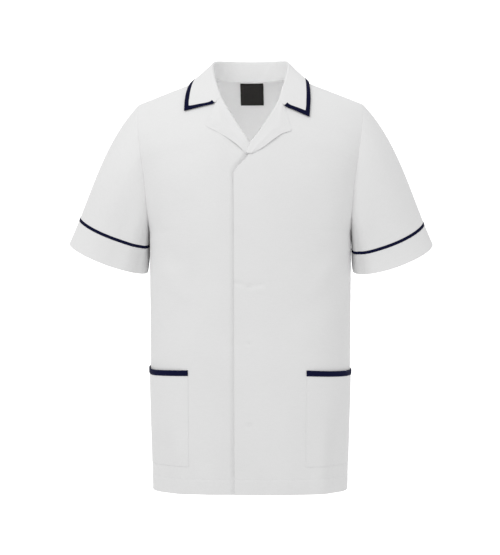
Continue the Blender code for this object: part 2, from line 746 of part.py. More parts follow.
end_rows = np.array([NOTCH_W + 0.25, 7.9, 8.5, 9.0])
inward = {-1: [], 1: []}
for w in end_rows:
    inward[-1].append(walk_in((0.0, w), (1, 0)))
    inward[1].append(walk_in((LAST_K, w), (-1, 0)))
corner = {}
for hand in (-1, 1):
    k_corner = inward[hand][-1] if hand < 0 else LAST_K - inward[hand][-1]
    corner[hand] = (k_corner, trim_inner(k_corner))

gap_w = 0.14
between = spans / LAST_K
rows = []
for w in (0.0, 1.0, 2.0, 3.0, 3.5, 4.0, 4.5, 5.0, 6.0, NOTCH_W - 0.06):
    rows.append([through_net(k, w) for k in between * LAST_K])
step_rows = [NOTCH_W + 0.20, 7.65]
for w in step_rows + [None]:
    ends = []
    for hand in (-1, 1):
        at = NOTCH_W + 0.25 if w is None else max(w, NOTCH_W + 0.25)
        if w is None:
            inset = inward[hand][-1]
        else:
            inset = np.interp(at, end_rows, inward[hand])
        inset += 0.018
        ends.append(inset if hand < 0 else LAST_K - inset)
    line = []
    for share in between:
        k = ends[0] + share * (ends[1] - ends[0])
        line.append(through_net(k, trim_inner(k) - gap_w if w is None else w))
    rows.append(line)
cloth("collar", np.array(rows), white)

outer_line, inner_line = [], []
for w, inset in zip(end_rows[:-1], inward[-1][:-1]):
    outer_line.append(through_net(0.0, w))
    inner_line.append(through_net(inset, min(w, corner[-1][1])))
outer_line.append(through_net(0.0, LAST_W))
inner_line.append(through_net(*corner[-1]))
for share in between[1:-1]:
    k = share * LAST_K
    inner_k = corner[-1][0] + share * (corner[1][0] - corner[-1][0])
    outer_line.append(through_net(k, LAST_W))
    inner_line.append(through_net(inner_k, trim_inner(inner_k)))
outer_line.append(through_net(LAST_K, LAST_W))
inner_line.append(through_net(*corner[1]))
for w, inset in list(zip(end_rows[:-1], inward[1][:-1]))[::-1]:
    outer_line.append(through_net(LAST_K, w))
    inner_line.append(through_net(LAST_K - inset, min(w, corner[1][1])))
outer_line = np.array(outer_line)
inner_line = np.array(inner_line)
cloth("collar_trim", np.array([inner_line, (inner_line + outer_line) / 2, outer_line]), navy, TRIM_WALL)

# Label inside the back of the neck, just below the seam.
label_x = np.linspace(-23.5, 23.5, 5)
label_z = np.array([-18.0, -5.0, 8.0, 20.6])
label = on_body(BACK, label_x[None], label_z[:, None], -(WALL / 2 + GAP + 0.7 + LABEL_WALL / 2))
cloth("neck_label", label, black, LABEL_WALL)
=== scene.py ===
# %% [markdown]
# # A work tunic, sewn in code
# This lesson sews a short-sleeved work tunic in white cloth with navy trims, shown as worn
# with nobody in it. A tailor would cut flat panels, join them at the seams and press the
# edges. Here each piece is a thin shell laid over the form that its solid already has, so
# the shell only has to add what cloth does: soft folds, rolled edges, seams and stitches.

# %% Load the frame
import json
import math

import bpy
import numpy as np
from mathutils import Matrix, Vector
from mathutils.bvhtree import BVHTree

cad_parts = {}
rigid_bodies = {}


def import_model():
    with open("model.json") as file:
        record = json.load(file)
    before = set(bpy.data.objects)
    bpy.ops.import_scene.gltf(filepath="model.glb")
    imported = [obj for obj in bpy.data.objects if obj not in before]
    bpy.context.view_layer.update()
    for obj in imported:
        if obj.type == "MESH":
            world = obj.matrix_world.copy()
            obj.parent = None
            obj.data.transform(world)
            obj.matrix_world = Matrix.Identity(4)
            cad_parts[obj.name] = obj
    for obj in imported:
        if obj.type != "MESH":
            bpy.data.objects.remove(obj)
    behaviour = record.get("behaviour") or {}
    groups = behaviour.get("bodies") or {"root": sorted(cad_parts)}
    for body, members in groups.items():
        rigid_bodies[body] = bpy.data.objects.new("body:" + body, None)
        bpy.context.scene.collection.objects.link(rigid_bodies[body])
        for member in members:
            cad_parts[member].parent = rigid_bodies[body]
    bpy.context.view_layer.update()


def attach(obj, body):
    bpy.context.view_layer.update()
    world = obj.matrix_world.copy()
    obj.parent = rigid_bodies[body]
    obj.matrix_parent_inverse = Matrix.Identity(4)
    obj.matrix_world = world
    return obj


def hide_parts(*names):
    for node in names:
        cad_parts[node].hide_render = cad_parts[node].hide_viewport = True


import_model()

# %% [markdown]
# ## Camera and light
# The tunic was photographed from straight ahead at chest height, a touch to the side of
# its middle, with a long lens. A long lens keeps the shoulders and the hem at nearly one
# scale. The white cloth needs one large soft lamp from the upper left, a weak one from the
# right, and an even pale room: then the folds show as slow changes of grey. A faint lamp
# behind and above lights the shoulders, and a tiny one inside lights the back of the neck.

# %% Camera
DISTANCE = 3.8
TURN = math.radians(2.0)
AIM = Vector((-0.001, 0.0, -0.344))
SEEN_WIDTH = 0.9235
SENSOR = 36.0

camera = bpy.data.objects.new("camera", bpy.data.cameras.new("camera"))
bpy.context.scene.collection.objects.link(camera)
camera.location = AIM + Vector((math.sin(TURN), -math.cos(TURN), 0.0)) * DISTANCE
camera.rotation_euler = (math.pi / 2, 0.0, TURN)
camera.data.sensor_fit = "HORIZONTAL"
camera.data.sensor_width = SENSOR
camera.data.lens = SENSOR * DISTANCE / SEEN_WIDTH
camera.data.clip_end = 50.0
bpy.context.scene.camera = camera
bpy.context.scene.view_settings.view_transform = "Standard"
print("camera at", [round(v, 3) for v in camera.location], "lens", round(camera.data.lens, 1), "mm")

# %% Lamps and room


def lamp(name, place, size, power, aim=(0.0, 0.0, -0.35)):
    """A square soft lamp that faces a point of the tunic."""
    light = bpy.data.lights.new(name, "AREA")
    light.shape = "SQUARE"
    light.size = size
    light.energy = power
    made = bpy.data.objects.new(name, light)
    made.location = place
    made.rotation_euler = (Vector(aim) - Vector(place)).to_track_quat("-Z", "Y").to_euler()
    bpy.context.scene.collection.objects.link(made)
    return made


lamp("key", (-1.3, -1.9, 1.9), 1.6, 24.0)
lamp("fill", (2.4, -2.2, 0.3), 1.6, 5.0)
lamp("top", (0.0, 0.8, 2.0), 1.4, 1.5)
lamp("inside", (0.0, -0.025, -0.225), 0.05, 0.19, aim=(0.0, 0.09, -0.01))
world = bpy.data.worlds.new("room")
world.use_nodes = True
world.node_tree.nodes["Background"].inputs["Color"].default_value = (1.0, 1.0, 1.0, 1.0)
world.node_tree.nodes["Background"].inputs["Strength"].default_value = 0.74
bpy.context.scene.world = world
print("lamps:", [light.name for light in bpy.data.lights])

# %% [markdown]
# ## A short way to write shaders
# A material is a sum of patterns. Written as node boxes it fills a screen, so one small
# class wraps a socket and lets plain arithmetic make the Math nodes.

# %% Sockets that do arithmetic


class Value:
    """A socket that makes a Math node for each operator used on it."""

    def __init__(self, tree, socket):
        self.tree = tree
        self.socket = socket

    def math(self, kind, *others):
        inputs = dict(enumerate((self, *others)))
        made = add_node(self.tree, "ShaderNodeMath", {"operation": kind}, inputs)
        return Value(self.tree, made.outputs[0])

    def __add__(self, other):
        return self.math("ADD", other)

    def __mul__(self, other):
        return self.math("MULTIPLY", other)

    def __sub__(self, other):
        return self.math("SUBTRACT", other)

    def __rsub__(self, other):
        return self * -1.0 + other

    __radd__ = __add__
    __rmul__ = __mul__

    def sin(self):
        return self.math("SINE")

    def step(self, low, high):
        """0 below low, 1 above high, and a soft rise between them."""
        made = add_node(self.tree, "ShaderNodeMapRange", {"interpolation_type": "SMOOTHSTEP"},
                        {"Value": self, "From Min": low, "From Max": high})
        return Value(self.tree, made.outputs[0])


def plug(tree, slot, item):
    if isinstance(item, Value):
        tree.links.new(item.socket, slot)
    else:
        slot.default_value = item


def add_node(tree, kind, settings, inputs):
    """Makes any node: its settings first, then a value or a link for each socket."""
    made = tree.nodes.new(kind)
    for key, value in settings.items():
        setattr(made, key, value)
    for key, item in inputs.items():
        plug(tree, made.inputs[key], item)
    return made


print("operators of a socket:", [key for key in vars(Value) if key.startswith("__r")])

# %% Materials


class Finish:
    """A material whose nodes are added one call at a time."""

    def __init__(self, name, colour):
        self.material = bpy.data.materials.new(name)
        self.material.use_nodes = True
        self.material.diffuse_color = (*colour, 1.0)
        self.tree = self.material.node_tree
        self.shader = self.tree.nodes["Principled BSDF"]

    def node(self, kind, output, settings=None, **inputs):
        """The output of a new node of this material."""
        return Value(self.tree, add_node(self.tree, kind, settings or {}, inputs).outputs[output])

    def thread_axes(self):
        """Millimetres across and along the cloth, from its flat map."""
        flat = self.node("ShaderNodeUVMap", "UV", {"uv_map": "cloth"})
        split = add_node(self.tree, "ShaderNodeSeparateXYZ", {}, {"Vector": flat})
        return [Value(self.tree, split.outputs[axis]) * 1000.0 for axis in ("X", "Y")]

    def noise(self, scale, detail, where):
        return self.node("ShaderNodeTexNoise", "Fac", Vector=where, Scale=scale, Detail=detail)

    def place(self):
        return self.node("ShaderNodeTexCoord", "Object")

    def blend(self, share, dark, light):
        """Mix keeps sockets 0, 6 and 7 for the share and the two colours, 2 for the result."""
        inputs = {0: share, 6: (*dark, 1.0), 7: (*light, 1.0)}
        made = add_node(self.tree, "ShaderNodeMix", {"data_type": "RGBA"}, inputs)
        return Value(self.tree, made.outputs[2])

    def bump(self, height, distance, strength):
        return self.node("ShaderNodeBump", "Normal",
                         Height=height, Distance=distance, Strength=strength)

    def end(self, **inputs):
        """Sets or links sockets of the Principled shader."""
        for key, value in inputs.items():
            plug(self.tree, self.shader.inputs[key.replace("_", " ")], value)
        return self.material


print("materials so far:", len(bpy.data.materials))

# %% [markdown]
# ## The cloths
# The white is a plain-woven polyester and cotton cloth of about 200 g/m2: five threads to
# two millimetres, slubs where a yarn is thicker, and a dry surface with hardly any shine.
# The navy of the trims is the same cloth dyed. Both start from the same weave: two sets of
# threads that pass over and under each other.


def woven(name, dark, light, pitch, deep, rough, sheen, tint, shine=0.25):
    """Plain weave: pitch is one thread in millimetres, deep how far the threads stand up."""
    finish = Finish(name, light)
    across, along = finish.thread_axes()
    turn = 2 * math.pi / pitch
    warp = (across * turn).sin()
    weft = (along * turn).sin()
    stretch = finish.node("ShaderNodeCombineXYZ", "Vector", X=across * 0.9, Y=along * 0.09, Z=0.0)
    slub = finish.noise(1.6, 2.0, stretch)
    cross = finish.node("ShaderNodeCombineXYZ", "Vector", X=across * 0.08, Y=along * 0.8, Z=3.0)
    slub_weft = finish.noise(1.5, 2.0, cross)
    wash = finish.noise(9.0, 3.0, finish.place())
    fuzz = finish.noise(2600.0, 2.0, finish.place())
    height = warp * weft * deep + fuzz * 0.5 + (slub + slub_weft) * 0.8
    shade = (slub + slub_weft) * 0.3 + wash * 0.4 + warp * weft * 0.06
    colour = finish.blend(shade.step(0.25, 0.75), dark, light)
    normal = finish.bump(height, 0.00005, 0.5)
    dull = wash * 0.12 + slub * 0.06 + (rough - 0.09)
    return finish.end(Base_Color=colour, Roughness=dull, Normal=normal, Sheen_Weight=sheen,
                      Sheen_Roughness=0.5, Sheen_Tint=(*tint, 1.0), Specular_IOR_Level=shine)


white = woven("white_plain_weave", (0.80, 0.80, 0.80), (0.845, 0.845, 0.845),
              0.4, 0.5, 0.86, 0.12, (1.0, 1.0, 1.0))
navy = woven("navy_plain_weave", (0.0015, 0.0022, 0.020), (0.0035, 0.005, 0.033),
             0.4, 0.5, 0.9, 0.0, (0.45, 0.5, 0.8), 0.1)
white_thread = woven("white_thread", (0.78, 0.79, 0.80), (0.86, 0.87, 0.88),
                     0.12, 0.9, 0.6, 0.1, (1.0, 1.0, 1.0))
navy_thread = woven("navy_thread", (0.010, 0.014, 0.062), (0.02, 0.028, 0.10),
                    0.12, 0.9, 0.55, 0.1, (0.5, 0.55, 0.8))
black = woven("black_label_cloth", (0.006, 0.005, 0.004), (0.014, 0.012, 0.010),
              0.25, 0.2, 0.7, 0.05, (0.6, 0.6, 0.65))

# %% [markdown]
# ## The floor
# The tunic hangs in front of a plain pale sweep: a floor that turns up into a wall without
# a corner. It glows a little, as a lit studio table does, so it stays white behind white
# cloth.

# %% Floor


def make_object(name, points, faces, cover, flat=None):
    """A smooth object. flat is where each corner of a face lies on the flat cloth, in metres."""
    mesh = bpy.data.meshes.new(name)
    mesh.from_pydata(points, [], faces)
    mesh.polygons.foreach_set("use_smooth", [True] * len(faces))
    if flat is not None:
        mesh.uv_layers.new(name="cloth").data.foreach_set("uv", flat.astype(np.float32).ravel())
    mesh.materials.append(cover)
    made = bpy.data.objects.new(name, mesh)
    bpy.context.scene.collection.objects.link(made)
    return made


def sweep():
    """A floor that curves up into a wall, as a strip of quads."""
    radius, back, low = 2.0, 6.0, -1.6
    profile = [(-9.0, low), (back - radius, low)]
    for angle in (math.pi / 2 * k / 24 for k in range(1, 25)):
        profile.append((back - radius + radius * math.sin(angle),
                        low + radius * (1 - math.cos(angle))))
    profile.append((back, 8.0))
    points = [(x, y, z) for y, z in profile for x in (-10.0, 10.0)]
    faces = [(2 * k, 2 * k + 1, 2 * k + 3, 2 * k + 2) for k in range(len(profile) - 1)]
    finish = Finish("pale_floor", (0.9, 0.9, 0.9))
    grain = finish.noise(6.0, 2.0, finish.place())
    pale = finish.end(Base_Color=finish.blend(grain, (0.90, 0.90, 0.90), (0.93, 0.93, 0.93)),
                      Roughness=0.9, Specular_IOR_Level=0.0,
                      Emission_Color=(1.0, 1.0, 1.0, 1.0), Emission_Strength=0.9)
    made = make_object("floor", points, faces, pale)
    made.visible_diffuse = False
    return made


floor = sweep()
print("floor:", len(floor.data.polygons), "faces")

# %% [markdown]
# ## Where the cloth lies
# All sizes below are in millimetres. The body is described by rows, one for each height:
# how wide it is, how far forward and back it reaches in the middle and at the edge, and how
# round its corners are. A cubic that never overshoots runs through each column, so a few
# rows give a smooth chest, waist and shoulder.

# %% Sizes
MM = 0.001
FRONT = -1
BACK = 1
WALL = 0.9
SEAM_HALF = 0.06
ON_TOP = 2.05
HEM_Z = -731.0
HEM_STITCH_Z = -704.0
POCKET_BOTTOM_Z = -682.0
POCKET_TOP_Z = -510.6
POCKET_TRIM = 10.2
POCKET_SAG = {1: (2.2, 1.0), -1: (0.8, 5.0)}
ARMPIT_Z = -268.0
SHOULDER_ROW = 42.2
SHOULDER_TIP_Z = -24.0
HEM_SAG = 2.6
LAP_LIFT = 1.1
LAP_FADE = (28.0, 62.0)
CROSSING_DEPTH = 2.3
NECK_SIDE = 70.0
POCKET_INNER = {1: 104.5, -1: 109.0}
SLEEVE_MIDDLE = (262.0, -5.0, -307.5)
SLEEVE_ACROSS = {1: (0.951, 0.0, 0.309), -1: (0.94, 0.0, 0.342)}
SLEEVE_HALF_WIDTH = 77.0
SLEEVE_HALF_DEPTH = 52.0
SLEEVE_FRONT_DIP = {1: 20.0, -1: 14.0}
SLEEVE_DOWN = (0.407, -0.06, -0.914)
CUFF_DEPTH = 44.0
CUFF_TURN = {1: (-5.4, 1.8), -1: (3.4, 0.0)}
SLEEVE_TRIM = 5.8
COLLAR_TRIM = 9.0
FOLD_RADIUS = 2.3
TUCK = 2.6
SEAM_GAP = 0.75

# %% Levels of the body
# One row for each level of the body. half_width and the edges follow the side seam
# up to the armpit and the armhole above it. corner is how far the curve of a row
# runs round before the edge cuts it off, 1.0 for all the way to the side seam. rounding
# is the power of that curve: 2 for an ellipse, and more for a squarer plan.
LEVELS = (
    "row", "half_width", "edge_front", "edge_back", "mid_front", "mid_back", "corner", "rounding",
)
BODY = np.array([
    (-731, 178.5, 0, 0, -118, 113, 1, 3),
    (-682, 179.6, 0, 0, -120, 114, 1, 2.9),
    (-600, 181.4, 0, 0, -123, 115, 1, 2.7),
    (-506, 183.2, 0, 0, -124.2, 112, 1, 2.55),
    (-400, 184.2, 0, 0, -124.8, 110.5, 1, 2.5),
    (-320, 184.8, 0, 0, -127.2, 117, 1, 2.6),
    (-268, 185, 0, 0, -128.3, 121.2, 1, 2.75),
    (-267, 185.02, -2, 2, -128.32, 121.28, 0.999995, 2.75),
    (-266, 185.03, -4, 4, -128.34, 121.37, 0.99997, 2.75),
    (-264, 185.07, -8, 8, -128.38, 121.53, 0.9998, 2.75),
    (-262, 185.1, -12, 12, -128.42, 121.7, 0.9994, 2.75),
    (-250, 185.3, -32.5, 31, -128.52, 122.7, 0.991, 2.75),
    (-236, 185.6, -46, 45.5, -128.5, 124, 0.972, 2.75),
    (-220, 186, -55, 56, -128.2, 125.3, 0.945, 2.75),
    (-190, 187.8, -61, 63.5, -127.2, 127.4, 0.918, 2.72),
    (-150, 190.5, -63.5, 67, -124.8, 129, 0.90, 2.65),
    (-90, 196.5, -64, 71, -113, 126, 0.90, 2.5),
    (-40, 202, -55, 65, -92, 112, 0.90, 2.5),
    (0, 205, -38, 49, -66, 87, 0.90, 2.5),
    (24, 206, -21, 28, -42, 64, 0.90, 2.5),
    (33, 206, -12.5, 19, -27, 49.5, 0.90, 2.5),
    (38.3, 206, -5, 12, -14, 31, 0.90, 2.5),
    (42.2, 206, 4, 4, 4, 4, 0.90, 2.5),
])
print("levels of the body:", len(BODY))

# %% Broad folds and cut edges
# Broad soft folds: outward lift, negative for a trough, along a line on one side.
# Columns: side, x0, z0, x1, z1, spread, lift.
SOFT_FOLDS = np.array([
    (FRONT, 160, -560, 153, -740, 13, -4),
    (FRONT, 136, -590, 130, -740, 15, 3),
    (FRONT, -152, -600, -147, -740, 15, -3.2),
    (FRONT, -122, -610, -118, -740, 17, 2.6),
    (FRONT, 158, -306, 112, -380, 18, 3),
    (FRONT, -156, -312, -114, -388, 18, 2.6),
    (FRONT, 104, -150, 110, -430, 36, -3),
    (FRONT, -102, -160, -108, -440, 36, -2.8),
    (BACK, 0, -130, 0, -470, 52, -7),
    (BACK, 92, -260, 112, -740, 26, 4.6),
    (BACK, -88, -250, -106, -740, 26, 4.2),
    (BACK, 46, -420, 52, -740, 22, -2.6),
    (BACK, -50, -430, -48, -740, 22, -3),
])

# The cut edge of each front from the lap up to the side of the neck, x measured
# towards the piece's own side, and how far the fold of the revers stands beyond it.
# Columns: x, z, overhang.
FRONT_EDGE = {
    1: np.array([
        (-26, -157, 0), (-21, -149.5, 0), (-13.8, -141, 0), (-4, -131, 0),
        (2, -122.5, 6), (6.5, -107, 4.4), (15, -92.5, 3.2), (25, -78.2, 3),
        (34, -64.5, 3), (42, -51.5, 3), (49.5, -37.5, 3), (55.5, -26, 3),
        (59, -15, 3), (62.5, -3, 3), (65.5, 8, 3), (68, 18, 3),
    ]),
    -1: np.array([
        (-26, -148, 0), (-18, -136, 0), (-8, -119, 0), (0.8, -103.5, 3.2),
        (7, -93, 3.2), (14.5, -81.5, 3), (23, -68.5, 3), (31, -55.5, 3),
        (38.5, -43.5, 3), (45.8, -31.5, 3), (52.5, -19.5, 3), (57, -10.5, 3),
        (61.5, 0, 3), (65, 9.5, 3), (68, 18.5, 3),
    ]),
}
BACK_NECK = np.array([
    (-62, 26), (-50, 25.3), (-35, 24.7), (-18, 24.2),
    (0, 24), (18, 24.2), (35, 24.7), (50, 25.3),
    (62, 26),
])
print("broad folds:", len(SOFT_FOLDS), "points of a cut edge:", len(FRONT_EDGE[1]))

# %% Revers and collar
# Turned-back fronts, from the bottom of the fold up to the gorge: the first point of
# the cut edge to take, and the outer edge of the leaf for that point and each after it.
# Columns: out_x, out_z.
REVERS_START = {1: 4, -1: 3}
REVERS = {
    1: np.array([
        (9.5, -121.5), (27.5, -111), (46.5, -96.3), (61.5, -86),
        (77, -79.5), (73.5, -66), (69, -50), (65, -38),
    ]),
    -1: np.array([
        (8, -117.5), (21.5, -105), (38, -93), (58, -82),
        (77.5, -69.5), (72.5, -57), (67.5, -44), (63.1, -32.6),
    ]),
}

# Collar from the middle of the back to its front end: where it meets the neck seam,
# the top of the roll, and the outer edge of the fall on the panel below it.
# Columns: neck_x, neck_z, roll_x, roll_y, roll_z, out_x, out_z.
COLLAR_BACK = np.array([
    (0, 24, 0, 70, 61, 0, 6),
    (18, 24.2, 20, 68, 61, 25, 6.2),
    (35, 24.7, 38.5, 61, 60.8, 49, 7.1),
    (50, 25.3, 54.5, 48.5, 60.3, 71, 8.2),
    (62, 26.4, 66.5, 28, 57.8, 92, 11.7),
    (70, 27.6, 71, 2, 49.5, 105, 15.1),
])
COLLAR_FRONT = {
    1: np.array([
        (68, 18, 70.3, -19, 36, 108.5, 3),
        (65.5, 8, 68, -36, 23, 109.8, -9),
        (62.5, -3, 65, -52, 10, 110.4, -22),
        (59, -15, 60.5, -66, -4.5, 109.8, -38),
    ]),
    -1: np.array([
        (68, 18.5, 70.3, -18, 37, 112, 5),
        (65, 9.5, 67, -35, 25, 114.5, -5),
        (61.5, 0, 63.3, -50, 12.5, 116.3, -16),
        (57, -10.5, 58.5, -64, -0.5, 117.2, -29),
    ]),
}
# Columns: edge_x, edge_z, notch_x, notch_z, tip_x, tip_z.
COLLAR_ENDS = {
    1: (55.5, -26.0, 64.4, -35.6, 108.8, -55.5),
    -1: (52.5, -19.5, 62.4, -30.2, 117.2, -43.5),
}
print("stations of the collar:", len(COLLAR_BACK), "behind and", len(COLLAR_FRONT[1]), "in front")

# %% Curves through tables


def through(knots, values, at):
    """A smooth curve through a table that never swings past its own rows."""
    knots = np.asarray(knots, float)
    values = np.asarray(values, float)
    at = np.clip(np.asarray(at, float), knots[0], knots[-1])
    more = (1,) * (values.ndim - 1)
    step = np.diff(knots).reshape((-1, *more))
    slope = np.diff(values, axis=0) / step
    before, after = slope[:-1], slope[1:]
    same = before * after > 0
    first, second = 2 * step[1:] + step[:-1], step[1:] + 2 * step[:-1]
    mean = first / np.where(same, before, 1) + second / np.where(same, after, 1)
    mean = (first + second) / mean
    lean = np.concatenate([slope[:1], np.where(same, mean, 0), slope[-1:]])
    k = np.clip(np.searchsorted(knots, at) - 1, 0, len(knots) - 2)
    wide = np.diff(knots)[k].reshape(at.shape + more)
    t = (at - knots[k]).reshape(at.shape + more) / wide
    rise = values[k + 1] - values[k]
    start, end = lean[k] * wide, lean[k + 1] * wide
    return values[k] + t * (start + t * (3 * rise - 2 * start - end + t * (start + end - 2 * rise)))


def level(name, row):
    return through(BODY[:, 0], BODY[:, LEVELS.index(name)], row)


def ease(value, start, end):
    t = np.clip((value - start) / (end - start), 0, 1)
    return t * t * (3 - 2 * t)


def bell(x):
    return np.exp(-(x ** 2))


def both(first, second):
    """Two inputs as arrays of one shape."""
    return np.broadcast_arrays(np.asarray(first, float), np.asarray(second, float))


def unit(vectors):
    return vectors / np.maximum(np.linalg.norm(vectors, axis=-1, keepdims=True), 1e-9)


def follow(at, knots, points):
    """Straight runs between points, at any place along them."""
    return np.stack([np.interp(at, knots, points[:, k]) for k in range(3)], axis=-1)


def grid_at(values, r, c):
    """Values of a grid at rows r and columns c with fractions."""
    r0 = np.minimum(r.astype(int), values.shape[0] - 2)
    c0 = np.minimum(c.astype(int), values.shape[1] - 2)
    fr, fc = (r - r0)[..., None], (c - c0)[..., None]
    low = values[r0, c0] * (1 - fc) + values[r0, c0 + 1] * fc
    high = values[r0 + 1, c0] * (1 - fc) + values[r0 + 1, c0 + 1] * fc
    return low * (1 - fr) + high * fr


print("half width at the chest", float(level("half_width", -268.0)), "mm")

# %% The body of the tunic


def edge_height(row):
    """Height of the side seam and the armhole's edge for a row."""
    climb = (SHOULDER_TIP_Z - ARMPIT_Z) / (SHOULDER_ROW - ARMPIT_Z)
    return np.where(row < ARMPIT_Z, row, ARMPIT_Z + climb * (row - ARMPIT_Z))


def fall_across(share):
    soft = 0.25
    return (np.sqrt(share ** 2 + soft ** 2) - soft) / (np.sqrt(1 + soft ** 2) - soft)


def rise_across(share, corner, rounding):
    def arch(x):
        return np.maximum(1 - np.abs(x) ** rounding, 0) ** (1 / rounding)

    at_edge = arch(corner)
    return (arch(corner * share) - at_edge) / (1 - at_edge)


def bare(side, share, row):
    """Point of the body before folds: share runs from -1 to 1 across, row is a height."""
    share, row = both(share, row)
    name = "front" if side == FRONT else "back"
    x = level("half_width", row) * share
    z = row + (edge_height(row) - row) * fall_across(np.abs(share))
    z = z - HEM_SAG * (1 - np.abs(share) ** 8) * ease(row, -600.0, HEM_Z)
    edge = level("edge_" + name, row)
    rise = rise_across(share, level("corner", row), level("rounding", row))
    y = edge + (level("mid_" + name, row) - edge) * rise
    return np.stack([x, y + side * SEAM_HALF, z], axis=-1)


def bare_normal(side, share, row):
    share, row = both(share, row)
    right = bare(side, np.minimum(share + 0.004, 1), row)
    left = bare(side, np.maximum(share - 0.004, -1), row)
    above = bare(side, share, np.minimum(row + 0.6, SHOULDER_ROW))
    below = bare(side, share, np.maximum(row - 0.6, HEM_Z))
    return unit(np.cross(right - left, above - below)) * -side


print("middle of the neck behind:", bare(BACK, 0.0, 24.0).round(1))

# %% Folds and laps of the body


def along_folds(table, side, x, z):
    """Sum of soft ridges and troughs, each along a line from x0, z0 to x1, z1."""
    total = np.zeros_like(x)
    for fold_side, x0, z0, x1, z1, spread, lift in table:
        if fold_side != side:
            continue
        line = np.array([x1 - x0, z1 - z0])
        along = ((x - x0) * line[0] + (z - z0) * line[1]) / (line @ line)
        off = np.hypot(x - x0 - along * line[0], z - z0 - along * line[1])
        ends = np.clip(along * 2.5, 0, 1) * np.clip((1.12 - along) * 4, 0, 1)
        total += lift * ends ** 2 * (3 - 2 * ends) * bell(off / spread)
    return total


def lap_lift(hand, x, z):
    near = 1 - ease(hand * x, *LAP_FADE)
    crossing = ease(z, -190.0, -135.0) if hand < 0 else 0.0
    return near * (hand * LAP_LIFT - CROSSING_DEPTH * crossing)


def body(side, share, row, lift=0.0, hand=0):
    """Middle of the cloth on the body, moved out by lift."""
    point = bare(side, share, row)
    out = lift + along_folds(SOFT_FOLDS, side, point[..., 0], point[..., 2])
    if hand:
        out = out + lap_lift(hand, point[..., 0], point[..., 2])
    return point + bare_normal(side, share, row) * np.asarray(out)[..., None]


def row_at(side, x, z):
    x, z = both(x, z)
    low = np.full(x.shape, HEM_Z)
    high = np.full(x.shape, SHOULDER_ROW)
    for _ in range(30):
        row = (low + high) / 2
        share = np.clip(x / level("half_width", row), -1, 1)
        height = row + (edge_height(row) - row) * fall_across(np.abs(share))
        low = np.where(height < z, row, low)
        high = np.where(height < z, high, row)
    return np.clip(x / level("half_width", row), -1, 1), row


def on_body(side, x, z, lift=0.0, hand=0):
    return body(side, *row_at(side, x, z), lift, hand)


print("front of the chest at", body(FRONT, np.array([0.0]), np.array([-268.0])).round(1))

# %% [markdown]
# ## From a form to a shell
# A piece of cloth is a grid of points in the middle of its thickness. The grid lines lie
# close together where something narrow happens, such as an edge or a row of stitching.
# The shell gets two skins half a thickness to each side. Towards a border the skins come
# together in a quarter circle, so that an edge looks folded and not sliced.

# %% Grid lines


def lines(start, end, step, close=None, fine=0.35, reach=1.1):
    """Marks about step apart, crowded round the places in close, or round both ends."""
    close = (start, end) if close is None else close
    at = np.linspace(start, end, 8001)
    density = np.full(at.shape, 1 / step)
    for place in close:
        density += bell((at - place) / reach) / fine
    total = np.concatenate([[0], np.cumsum((density[1:] + density[:-1]) / 2 * np.diff(at))])
    count = max(int(math.ceil(total[-1])), 2)
    return np.interp(np.linspace(0, total[-1], count + 1), total, at)


def grid_normals(grid, around):
    if around:
        across = np.roll(grid, -1, 1) - np.roll(grid, 1, 1)
    else:
        across = np.gradient(grid, axis=1)
    return unit(np.cross(across, np.gradient(grid, axis=0)))


def lengths(grid, axis):
    """Mean length along one direction of a grid, added up from its start."""
    steps = np.linalg.norm(np.diff(grid, axis=axis), axis=2).mean(axis=1 - axis)
    return np.concatenate([[0.0], np.cumsum(steps)])


print("61 mm of seam gets", len(lines(0, 61, 3)), "grid lines")

# %% Pieces


class Piece:
    """A sewn piece: its grid, its outward normals and how far along the cloth each line is."""

    def __init__(self, grid, outward, around=False):
        self.grid = np.asarray(grid, float)
        self.around = around
        normal = grid_normals(self.grid, around)
        self.normal = normal * np.sign((normal * outward).sum(axis=-1).mean())
        closed = np.concatenate([self.grid, self.grid[:, :1]], axis=1) if around else self.grid
        self.across = lengths(closed, 1)
        self.along = lengths(closed, 0)
        self.wide, self.tall = self.across[-1], self.along[-1]
        u = self.across[:-1] if around else self.across
        self.u, self.v = np.meshgrid(u, self.along)

    def turn_to(self, agreement):
        """Flips the normals where a test says that they point the wrong way."""
        if agreement < 0:
            self.normal = -self.normal

    def from_edges(self, top=True):
        """Distance to the nearest border, with or without the top one."""
        far = self.v
        if not self.around:
            far = np.minimum(far, np.minimum(self.u, self.wide - self.u))
        return np.minimum(far, self.tall - self.v) if top else far

    def lift(self, out):
        self.grid = self.grid + self.normal * out[..., None]
        normal = grid_normals(self.grid, self.around)
        self.normal = normal * np.sign((normal * self.normal).sum(axis=-1).mean())

    def at(self, u, v, out):
        """Points and normals of the cloth at lengths u across and v along it."""
        c = np.interp(u, self.across, np.arange(len(self.across)))
        r = np.interp(v, self.along, np.arange(len(self.along)))
        grid, normal = self.grid, self.normal
        if self.around:
            grid, normal = (np.concatenate([a, a[:, :1]], axis=1) for a in (grid, normal))
        normal = unit(grid_at(normal, r, c))
        return grid_at(grid, r, c) + normal * out, normal


test = Piece(bare(FRONT, np.linspace(-1, 1, 9), np.array([[-400.0], [-300.0]])), (0.0, FRONT, 0.0))
print("a test piece is", test.wide.round(1), "mm across")

# %% Shells


def quads(left, right):
    """Faces between neighbouring lines of a grid of point numbers."""
    return np.stack([left[:-1], right[:-1], right[1:], left[1:]], axis=-1).reshape(-1, 4)


